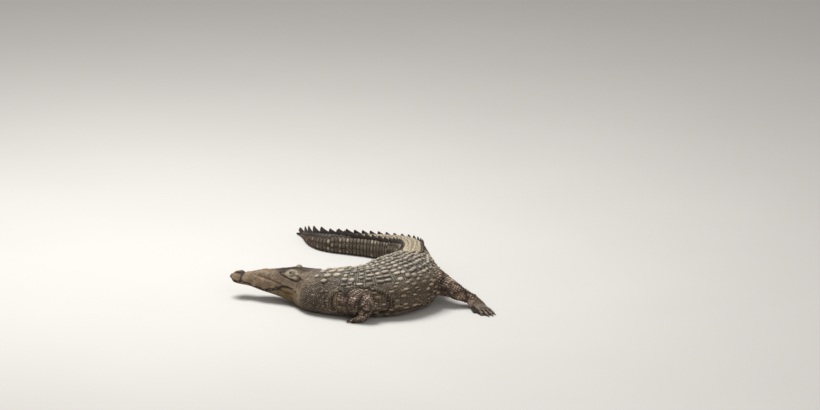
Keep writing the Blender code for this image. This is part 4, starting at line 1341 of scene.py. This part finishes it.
def crest_places():
    """Where each blade of the crest stands, and its length: they spread out towards the tip."""
    s, found = CREST_START, []
    while s < CREST_END:
        length = float(WHORL * (1 + CREST_STRETCH * rise_over(s, HIP + 0.86, HIP + 0.98)))
        found.append((s, length))
        s += length
    return found


def blade():
    """A crest blade within +-1 along and 0 to 1 up: broad root, thin hooked crown."""
    bm = bmesh.new()
    bmesh.ops.create_cube(bm, size=2.0)
    bmesh.ops.subdivide_edges(bm, edges=bm.edges[:], cuts=5, use_grid_fill=True)
    for vert in bm.verts:
        along, up = vert.co.x, (vert.co.z + 1) / 2
        crown = 1 - 0.72 * up ** 1.9
        thin = (1 - 0.70 * up) * (1 - 0.50 * along * along)
        hook = 0.40 * up ** 2.0
        round_top = 1 - 0.22 * (along - 0.1) ** 2 * up
        vert.co = (along * crown + hook, vert.co.y * thin, up * round_top)
    points = np.array([vert.co for vert in bm.verts])
    return template_of(bm, points, 0.15 + 0.55 * points[:, 2])


def make_crest(material):
    """Two rows of leaning blades that become one along the tail."""
    template = blade()
    shape = template.points
    places, tones, roots = [], [], []
    random = np.random.default_rng(17)
    for s, length in crest_places():
        height = float(smooth_through(CREST_HEIGHT, s)) * (0.94 + 0.10 * random.random())
        up = shape[:, 2] * (height + CREST_ROOT)
        along = s + shape[:, 0] * length * BLADE_HALF + up * CREST_LEAN
        spread = float(smooth_through(CREST_SPREAD, s))
        for side in ((spread, -spread) if s < CREST_JOIN else (0.0,)):
            base = back_height(s, side) - CREST_ROOT
            places.append(on_spine(along, side + shape[:, 1] * CREST_THICKNESS, base + up))
            tones.append(0.15 + 0.25 * random.random())
            roots.append((0.25 + side, s / TAIL_TIP))
    tiled("crest", template, np.array(places), np.array(tones), np.array(roots), material, "tail_3",
          -1.0)


def scattered(stretch, rows, spacing, point):
    """Even places on a stretch of leg: point(u, angle) with u from its first to its last."""
    places = []
    for number, u in enumerate(np.linspace(*stretch, rows)):
        angle = np.linspace(0, 2 * math.pi, 49)
        way = way_along(point(np.full(49, u), angle))
        count = max(4, round(way[-1] / spacing))
        middle = (np.arange(count) + 0.5 * (number % 2)) * way[-1] / count
        places.append(np.stack([np.full(count, u), np.interp(middle, way, angle)], axis=1))
    return np.concatenate(places)


# Stretches of a leg's scales, as (first and last place, length, width, place on the unwrap), where
# length and width are shares of the coat's leg scales.
LEG_ROWS = (((0.30, 1.06), 1.15, 1.15, 0), ((-0.10, 1.0), 1.0, 1.0, 1.3),
            ((0.0, 1.0), 0.62, 0.62, 2.6))
TOE_SCALE_ROWS = (0.25, 0.98), 0.52, 0.62, 3.8
UNWRAP_BANDS = 9


def leg_rows(leg):
    """Each stretch of a leg's scales, the joints that give its length, and its surface."""
    for rows, (bone, joint, count) in zip(LEG_ROWS, ((leg, 0, 2), (leg, 2, 1), (palm_of(leg), 3, 1))):
        def on_limb(u, angle, bone=bone, joint=joint, count=count):
            return limb_point(bone, joint, count, u, angle)
        yield rows, bone.joints[joint:joint + count + 1], on_limb
    stretch, length, width, band = TOE_SCALE_ROWS
    for toe in range(leg.toes):
        def on_toe(part, angle, toe=toe):
            return toe_point(leg, toe, part, angle)
        ends = [toe_line(leg, toe, 0.0), toe_line(leg, toe, 1.0)]
        yield (stretch, length, width, band + toe), ends, on_toe


def leg_scales(leg, number, tree, coat, material):
    """Rows of overlapping scales down a leg, smaller on the foot, and plates along the toes."""
    spots, aheads, sizes, roots = [], [], [], []
    for (stretch, long, wide, band), joints, point in leg_rows(leg):
        long, wide = coat.leg_length * long, coat.leg_width * wide
        rows = round(length_of(joints) * (stretch[1] - stretch[0]) / (long * 0.86))
        u, angle = scattered(stretch, max(2, rows), wide, point).T
        spots.append(point(u, angle))
        aheads.append(point(u + 0.02, angle) - spots[-1])
        sizes.append(np.tile((long, wide), (len(u), 1)))
        roots.append(np.stack([angle / (2 * math.pi) % 1, (band + u) / UNWRAP_BANDS], axis=1))
    sizes, roots = np.concatenate(sizes), np.concatenate(roots)
    kept, spot, normal, ahead = lie_on(tree, np.concatenate(spots), np.concatenate(aheads), 0.0065)
    clear = thinned(spot, sizes[kept][:, 0] * 0.55)
    random = np.random.default_rng(20 + number)
    tone = 1.4 * random.random(clear.sum()) - 0.25
    long, wide = (sizes[kept][clear] * (0.80 + 0.32 * random.random(clear.sum()))[:, None]).T
    template = dome(8, 2.3, 0.5)
    where = laid(template, spot[clear], normal[clear], ahead[clear],
                 (long * 1.04, wide * 0.98, long * 0.24), 0.35)
    tiled(f"{leg.name}_scales", template, where, tone, roots[kept][clear], material, f"{leg.name}_upper")


def point_tree(points):
    tree = KDTree(len(points))
    for number, point in enumerate(points):
        tree.insert(Vector(point), number)
    tree.balance()
    return tree


def thinned(spots, apart):
    """Which places to keep so that none lies nearer than apart to an earlier one."""
    tree = point_tree(spots)
    kept = np.ones(len(spots), bool)
    for number, spot in enumerate(spots):
        if kept[number]:
            for _, other, _ in tree.find_range(Vector(spot), apart[number]):
                kept[other] &= other <= number
    return kept


def grain_roots(spots, marks):
    """Where grains lie on the unwrap: the body in its lower part, a band for each leg above."""
    s = marks[:, 0]
    left = directions(s)[1]
    side = ((spots - on_spine(s, 0, spots[:, 2])) * left).sum(axis=1) / profile("half", s)
    around = np.arctan2(marks[:, 1] * 2 - 1, side) / (2 * math.pi) % 1
    roots = np.stack([around, s / TAIL_TIP * 0.6], axis=1)
    unwraps = [leg_unwrap(leg, spots) for leg in LEGS]
    nearest = np.argmin([far for _, _, far in unwraps], axis=0)
    for number, (along, turned, _) in enumerate(unwraps):
        band = np.stack([turned, 0.61 + (number + along * 0.95) * 0.095], axis=1)
        mine = (marks[:, 2] > 0.5) & (nearest == number)
        roots = np.where(mine[:, None], band, roots)
    return roots


def make_grains(skin, tree, coat, material):
    """Small grains on whatever skin the other scales left bare."""
    spots = points_of(skin.data)
    marks = places_and_painted_light(spots)
    inside = (marks[:, 0] > HEAD_LENGTH - 0.02) & (marks[:, 0] < TAIL_TIP - 0.03) & (spots[:, 2] > 0.004)
    size = np.interp(marks[:, 2], (0, 1), (coat.grain, coat.leg_length * 0.55))
    size = size * np.interp(spots[:, 2], (0.0, 0.06), (0.70, 1.0))
    rank = np.random.default_rng(41).permutation(np.flatnonzero(inside))
    spots, size, marks = spots[rank], size[rank], marks[rank]
    centres, radii = (np.concatenate(part) for part in zip(*COVERED))
    covered = point_tree(centres)
    bare = np.array([all(gap > radii[other] * 0.80 + apart * 0.25
                         for _, other, gap in covered.find_range(Vector(spot), 0.024))
                     for spot, apart in zip(spots, size)])
    spots, size, marks = spots[bare], size[bare], marks[bare]
    clear = thinned(spots, size * 0.88)
    spots, size, marks = spots[clear], size[clear], marks[clear]
    kept, spot, normal, ahead = lie_on(tree, spots, directions(marks[:, 0])[0], 0.01)
    template = dome(7, 2.1, 0.2)
    size = size[kept]
    where = laid(template, spot, normal, ahead, (size, size * 0.9, size * 0.30))
    tone = np.random.default_rng(42).random(kept.sum())
    tiled("grains", template, where, tone, grain_roots(spot, marks[kept]), material, "trunk")


# The scales of the head: (name, top and bottom of their zone, size, height, seed).
HEAD_ZONES = (("crown_scales", 0.0, 0.36, 1.25, 0.0008, 31),
              ("cheek_scales", 0.36, 0.80, 1.0, 0.0010, 32))


def make_head_scales(tree, coat, material):
    """Low irregular scales of the snout, cheeks and jaws, leaving out the eyes and the mouth."""
    for name, top, bottom, size, height, seed in HEAD_ZONES:
        size = size * coat.head_grain
        places = zone_places(Zone(0.012, HEAD_LENGTH - 0.004, top, bottom, 0.5 * (top + bottom), size,
                                  size), True)
        random = np.random.default_rng(seed)
        places[:, 0] += shaken(random, len(places), size * 0.35)
        side, level = section(places[:, 0], places[:, 1], 0.0)
        out = np.abs(side)
        eye = np.hypot(places[:, 0] - EYE_S, np.hypot(out - EYE_SIDE, level - EYE_HEIGHT)) > 0.031
        lips = (np.abs(level - profile("mouth", places[:, 0])) > 0.0048) | (out < 0.02)
        places = places[eye & lips & (near_line(places[:, 0], out, *NOSTRIL) > 0.0072)]
        size = size * (0.78 + 0.42 * random.random(len(places)))
        size = size * np.interp(places[:, 0], (0.0, 0.30), (0.72, 1.05))
        body_scales(name, tree, places, dome(7, 2.6, 0.0), (size * 1.02, size * 0.95, height), material)


# Eyes, teeth and claws.
SIDES = (("left", 1), ("right", -1))
EYE_FORWARD = 0.30      # how far the eyes look forward and up for each length outwards
EYE_UP = 0.42


def eye_frame(name, side):
    """Centre, and the directions across, up and out of one eye."""
    low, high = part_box(f"eye_{name}")
    tailward, left = (Vector(way) for way in directions(EYE_S))
    out = (left * side - tailward * EYE_FORWARD + Vector((0, 0, EYE_UP))).normalized()
    up = (Vector((0, 0, 1)) - out * out.z).normalized()
    return (Vector(low) + Vector(high)) / 2, up.cross(out), up, out


def eye_material(looks):
    """A golden iris with rays, a dark rim and an upright slit."""
    shader = Shader("eye")
    across, up, out = shader.attribute("gaze")
    slit = 1 - shader.smooth(abs(across) / (0.16 * (1.02 - up * up) + 0.001), 0.55, 1.0)
    iris = shader.smooth(out, 0.52, 0.64)
    rays = shader.noise(260.0, 3.0)
    colour = shader.mix(iris, (0.030, 0.022, 0.014), shader.shade(looks.iris, 0.45 + 1.1 * rays))
    shader.set(Base_Color=shader.mix(slit * iris, colour, (0.004, 0.004, 0.004)),
               Roughness=0.18 + 0.1 * rays, Coat_Weight=0.8)
    return shader.material


def make_eyes(looks):
    material = eye_material(looks)
    for name, side in SIDES:
        centre, across, up, out = eye_frame(name, side)
        bm = bmesh.new()
        bmesh.ops.create_uvsphere(bm, u_segments=48, v_segments=32, radius=1.0)
        local = np.array([vert.co for vert in bm.verts])
        for vert in bm.verts:
            x, y, z = vert.co
            bulge = EYE_RADIUS * (1 + 0.05 * max(z - 0.75, 0) / 0.25)
            vert.co = centre + (x * across + y * up + z * out) * bulge
        bmesh.ops.recalc_face_normals(bm, faces=bm.faces)
        mesh = mesh_from(bm, f"eyeball_{name}")
        keep_numbers(mesh, "gaze", local)
        new_piece(f"eyeball_{name}", mesh, material, f"eye_{name}", f"eye_{name}")


# A lid's rings: (degrees past its edge, how far over the eyeball). Its opening is an almond, told by
# its half width and its half heights above and below in degrees.
LID_RINGS = ((-5, -0.0010), (-1, 0.0006), (3, 0.0020), (8, 0.0028), (14, 0.0022), (20, 0.0032),
             (28, 0.0020), (36, 0.0030), (46, 0.0022), (56, 0.0002), (66, -0.0026), (76, -0.0056))
LID_SEGMENTS = 72
LID_WIDE, LID_ABOVE, LID_BELOW = 54, 25, 24


def make_lids(material):
    """Thick wrinkled lids round each eye, open in an almond."""
    for name, side in SIDES:
        centre, across, up, out = (np.array(part) for part in eye_frame(name, side))
        bm, row, turn = bent_grid(len(LID_RINGS), LID_SEGMENTS)
        past, over = np.array(LID_RINGS)[row].T
        wide, tall = np.cos(turn), np.sin(turn)
        edge = 1 / np.hypot(wide / LID_WIDE, tall / np.where(tall > 0, LID_ABOVE, LID_BELOW))
        point = np.radians(edge + past)[:, None]
        radius = EYE_RADIUS + over + 0.0005 * np.sin(turn * 17) * bump(past - 30, 22)
        radius = radius + 0.0008 * np.maximum(tall, 0) * bump(past - 14, 14)
        around = across * wide[:, None] + up * tall[:, None]
        bend(bm, centre + (out * np.cos(point) + around * np.sin(point)) * radius[:, None])
        mesh = mesh_from(bm, f"lid_{name}")
        keep_numbers(mesh, "place", places_and_painted_light(points_of(mesh))[:, :3])
        # The lids are painted as lit ridges: a pale painted highlight
        keep_numbers(mesh, "scale", np.tile((0.8, 0.85, 0.80), (len(mesh.vertices), 1)))
        new_piece(f"lid_{name}", mesh, material, "head")


# The teeth that show with the mouth shut, as (s, size); the lower ones stand outside the upper lip.
UPPER_TEETH = ((0.020, 1.0), (0.046, 0.9), (0.125, 0.85), (0.153, 0.9), (0.187, 0.75), (0.212, 0.7),
               (0.238, 0.65), (0.264, 0.6))
LOWER_TEETH = (0.066, 0.143, 0.165, 0.224, 0.250)


def outer_side(s, height):
    """How far out the body's side is at a height."""
    side, level = section(np.full(120, s), np.linspace(-math.pi / 2, math.pi / 2, 120), 0.0)
    order = np.argsort(level)
    return float(np.interp(height, level[order], side[order]))


def tooth(s, side, down, length, radius):
    """A curved cone from the gum, with its tip turned inwards."""
    line = float(profile("mouth", s))
    out = outer_side(s, line) - radius * 0.4

    def point(part, angle):
        thick = radius * np.sqrt(np.clip(1 - part, 0.0, 1)) * (1 - 0.25 * part)
        height = line - down * (part * length - length * 0.35)
        aside = out - 0.0016 * part ** 2 + np.sin(angle) * thick
        return on_spine(s + np.cos(angle) * thick, side * aside, height)
    return lofted(np.array((0, 0.15, 0.35, 0.55, 0.75, 0.90, 0.98, 1.0)), 10, point)


def make_teeth(looks):
    shader = Shader("tooth")
    grain = shader.noise(180.0)
    shader.set(Base_Color=shader.shade(looks.tooth, 0.65 + 0.6 * grain), Roughness=0.35 + 0.2 * grain)
    teeth = [tooth(s, side, 1, 0.0085 * size, 0.0026 * size) for s, size in UPPER_TEETH
             for side in (1, -1)]
    teeth += [tooth(s, side, -1, 0.0075, 0.0025) for s in LOWER_TEETH for side in (1, -1)]
    new_piece("teeth", joined(teeth, "teeth"), shader.material, "head")


def claw(leg, number):
    """A curved claw past a toe's end, flat under and blunt at the tip."""
    radius = toe_radius(leg, 1.0)
    length = length_of_foot(leg) * CLAW_LENGTH
    tip, before = toe_line(leg, number, 0.97), toe_line(leg, number, 0.80)
    ahead = unit(tip - before)
    flat = unit(np.array((-ahead[1], ahead[0], 0)))

    def point(part, angle):
        thick = radius * 0.66 * (1 - part) ** 0.55 + 0.0003
        ring = tip + ahead * (part * length)[:, None] + flat * (thick * 0.85 * np.cos(angle))[:, None]
        ring[:, 2] += radius * (0.30 + 0.35 * part - 1.15 * part ** 2) + thick * np.sin(angle)
        return from_girdle(leg, ring)
    return lofted(np.linspace(0, 1, 9), 14, point)


def make_claws(looks):
    shader = Shader("claw")
    streaks = shader.noise(210.0, 4.0)
    shader.set(Base_Color=shader.shade(looks.horn, 0.6 + 1.3 * streaks), Roughness=0.38 + 0.25 * streaks)
    shader.relief(streaks, 0.3, 0.0006)
    for leg in LEGS:
        mesh = joined([claw(leg, number) for number in range(CLAWED_TOES)], f"{leg.name}_claws")
        nodes = [f"{leg.name}_claw_{number + 1}" for number in range(CLAWED_TOES)]
        new_piece(f"{leg.name}_claws", mesh, shader.material, nodes[0], *nodes)


# The stage.
FLOOR_HALF = 30.0
FAR_CLIP = 200.0
KEY_SIZE, KEY_PLACE = 2.6, (-1.6, 0.5, 5.0)
FILL_SIZE, FILL_PLACE = 4.0, (1.5, -4.5, 2.6)
SKY_COLOUR = (1.0, 0.97, 0.93, 1)


def aimed(name, data, place, direction):
    """A camera or light at a place, looking in a direction."""
    item = linked(name, data)
    item.location = place
    item.rotation_mode = "QUATERNION"
    item.rotation_quaternion = direction.to_track_quat("-Z", "Y")
    return item


def make_stage(looks, studio):
    """A pale floor, a camera and soft lights."""
    bm = bmesh.new()
    bmesh.ops.create_grid(bm, x_segments=1, y_segments=1, size=FLOOR_HALF)
    floor = linked("floor", mesh_from(bm, "floor"))
    shader = Shader("floor")
    cloud = shader.noise(1.2, 2.0)
    shader.set(Base_Color=shader.shade(looks.floor, 0.97 + 0.06 * cloud), Roughness=0.9)
    floor.data.materials.append(shader.material)
    lens = bpy.data.cameras.new("camera")
    lens.lens = lens.sensor_width * studio.distance / studio.field
    lens.clip_end = FAR_CLIP
    back = Vector((0, -math.cos(studio.elevation), math.sin(studio.elevation)))
    scene = bpy.context.scene
    scene.camera = aimed("camera", lens, Vector(studio.target) + back * studio.distance, -back)
    for name, power, size, place in (("key", studio.key, KEY_SIZE, KEY_PLACE),
                                     ("fill", studio.fill, FILL_SIZE, FILL_PLACE)):
        lamp = bpy.data.lights.new(name, "AREA")
        lamp.energy = power
        lamp.size = size
        aimed(name, lamp, place, -Vector(place))
    scene.world = bpy.data.worlds.new("studio")
    scene.world.use_nodes = True
    sky = scene.world.node_tree.nodes["Background"]
    sky.inputs["Color"].default_value = SKY_COLOUR
    sky.inputs["Strength"].default_value = studio.sky
    scene.view_settings.view_transform = "Standard"


# Operators.
GROUPS = (("crocodile_coat", CoatSizes), ("crocodile_looks", Looks), ("crocodile_studio", Studio))


def settings():
    return [getattr(bpy.context.scene, name) for name, _ in GROUPS]


def scale_material():
    return bpy.data.materials.get("scales") or hide_material("scales", settings()[1], 260.0, 0.5)


def on_the_skin():
    """The skin's surface, to lay scales on."""
    skin = bpy.data.objects.get("skin")
    if skin is None:
        raise RuntimeError("Build the skin first")
    bm = bmesh.new()
    bm.from_mesh(skin.data)
    tree = BVHTree.FromBMesh(bm)
    bm.free()
    return tree


class CrocodileOperator:
    bl_options = {"REGISTER", "UNDO"}

    def execute(self, context):
        self.build(*settings())
        return {"FINISHED"}


class CROCODILE_OT_skin(CrocodileOperator, bpy.types.Operator):
    """Build the one skin over the whole body"""
    bl_idname = "crocodile.skin"
    bl_label = "Skin"

    def build(self, coat, looks, _studio):
        make_skin(coat, looks)


class CROCODILE_OT_armour(CrocodileOperator, bpy.types.Operator):
    """Cover the back, nape, flanks, belly, neck and throat"""
    bl_idname = "crocodile.armour"
    bl_label = "Trunk Scales"

    def build(self, coat, _looks, _studio):
        tree, material = on_the_skin(), scale_material()
        make_back(tree, coat, material)
        make_nape(coat, material)
        make_flank(tree, coat, material)
        make_belly(tree, coat, material)
        make_neck(tree, coat, material)


class CROCODILE_OT_tail(CrocodileOperator, bpy.types.Operator):
    """Cover the tail with rings of plates and its crest"""
    bl_idname = "crocodile.tail"
    bl_label = "Tail Plates and Crest"

    def build(self, coat, _looks, _studio):
        make_tail(coat, scale_material())
        make_crest(scale_material())


class CROCODILE_OT_legs(CrocodileOperator, bpy.types.Operator):
    """Cover the four legs, feet and toes"""
    bl_idname = "crocodile.legs"
    bl_label = "Leg Scales"

    def build(self, coat, _looks, _studio):
        tree = on_the_skin()
        for number, leg in enumerate(LEGS):
            leg_scales(leg, number, tree, coat, scale_material())


class CROCODILE_OT_grains(CrocodileOperator, bpy.types.Operator):
    """Fill what is left between the scales with small grains"""
    bl_idname = "crocodile.grains"
    bl_label = "Grains"

    def build(self, coat, _looks, _studio):
        tree = on_the_skin()
        make_grains(bpy.data.objects["skin"], tree, coat, scale_material())


class CROCODILE_OT_head(CrocodileOperator, bpy.types.Operator):
    """Cover the head, and give it eyes, lids and teeth"""
    bl_idname = "crocodile.head"
    bl_label = "Head"

    def build(self, coat, looks, _studio):
        make_head_scales(on_the_skin(), coat, scale_material())
        make_eyes(looks)
        make_lids(scale_material())
        make_teeth(looks)


class CROCODILE_OT_claws(CrocodileOperator, bpy.types.Operator):
    """Put the claws on the toes"""
    bl_idname = "crocodile.claws"
    bl_label = "Claws"

    def build(self, _coat, looks, _studio):
        make_claws(looks)


class CROCODILE_OT_stage(CrocodileOperator, bpy.types.Operator):
    """Lay the floor and set the camera and lights"""
    bl_idname = "crocodile.stage"
    bl_label = "Stage"

    def build(self, _coat, looks, studio):
        make_stage(looks, studio)


OPERATORS = (CROCODILE_OT_stage, CROCODILE_OT_skin, CROCODILE_OT_armour, CROCODILE_OT_tail,
             CROCODILE_OT_legs, CROCODILE_OT_grains, CROCODILE_OT_head, CROCODILE_OT_claws)


class CROCODILE_PT_panel(bpy.types.Panel):
    """Lists the steps of the model and its settings"""
    bl_label = "Resting Crocodile"
    bl_idname = "CROCODILE_PT_panel"
    bl_space_type = "VIEW_3D"
    bl_region_type = "UI"
    bl_category = "Crocodile"

    def draw(self, context):
        for operator in OPERATORS:
            self.layout.operator(operator.bl_idname)
        for group in settings():
            box = self.layout.box()
            for name in group.__annotations__:
                box.prop(group, name)


CLASSES = tuple(group for _, group in GROUPS) + OPERATORS + (CROCODILE_PT_panel,)


def register():
    for cls in CLASSES:
        bpy.utils.register_class(cls)
    for name, group in GROUPS:
        setattr(bpy.types.Scene, name, PointerProperty(type=group))


def unregister():
    for name, _ in GROUPS:
        delattr(bpy.types.Scene, name)
    for cls in reversed(CLASSES):
        bpy.utils.unregister_class(cls)


def main():
    register()
    for operator in OPERATORS:
        group, name = operator.bl_idname.split(".")
        getattr(getattr(bpy.ops, group), name)()


if __name__ == "__main__":
    main()
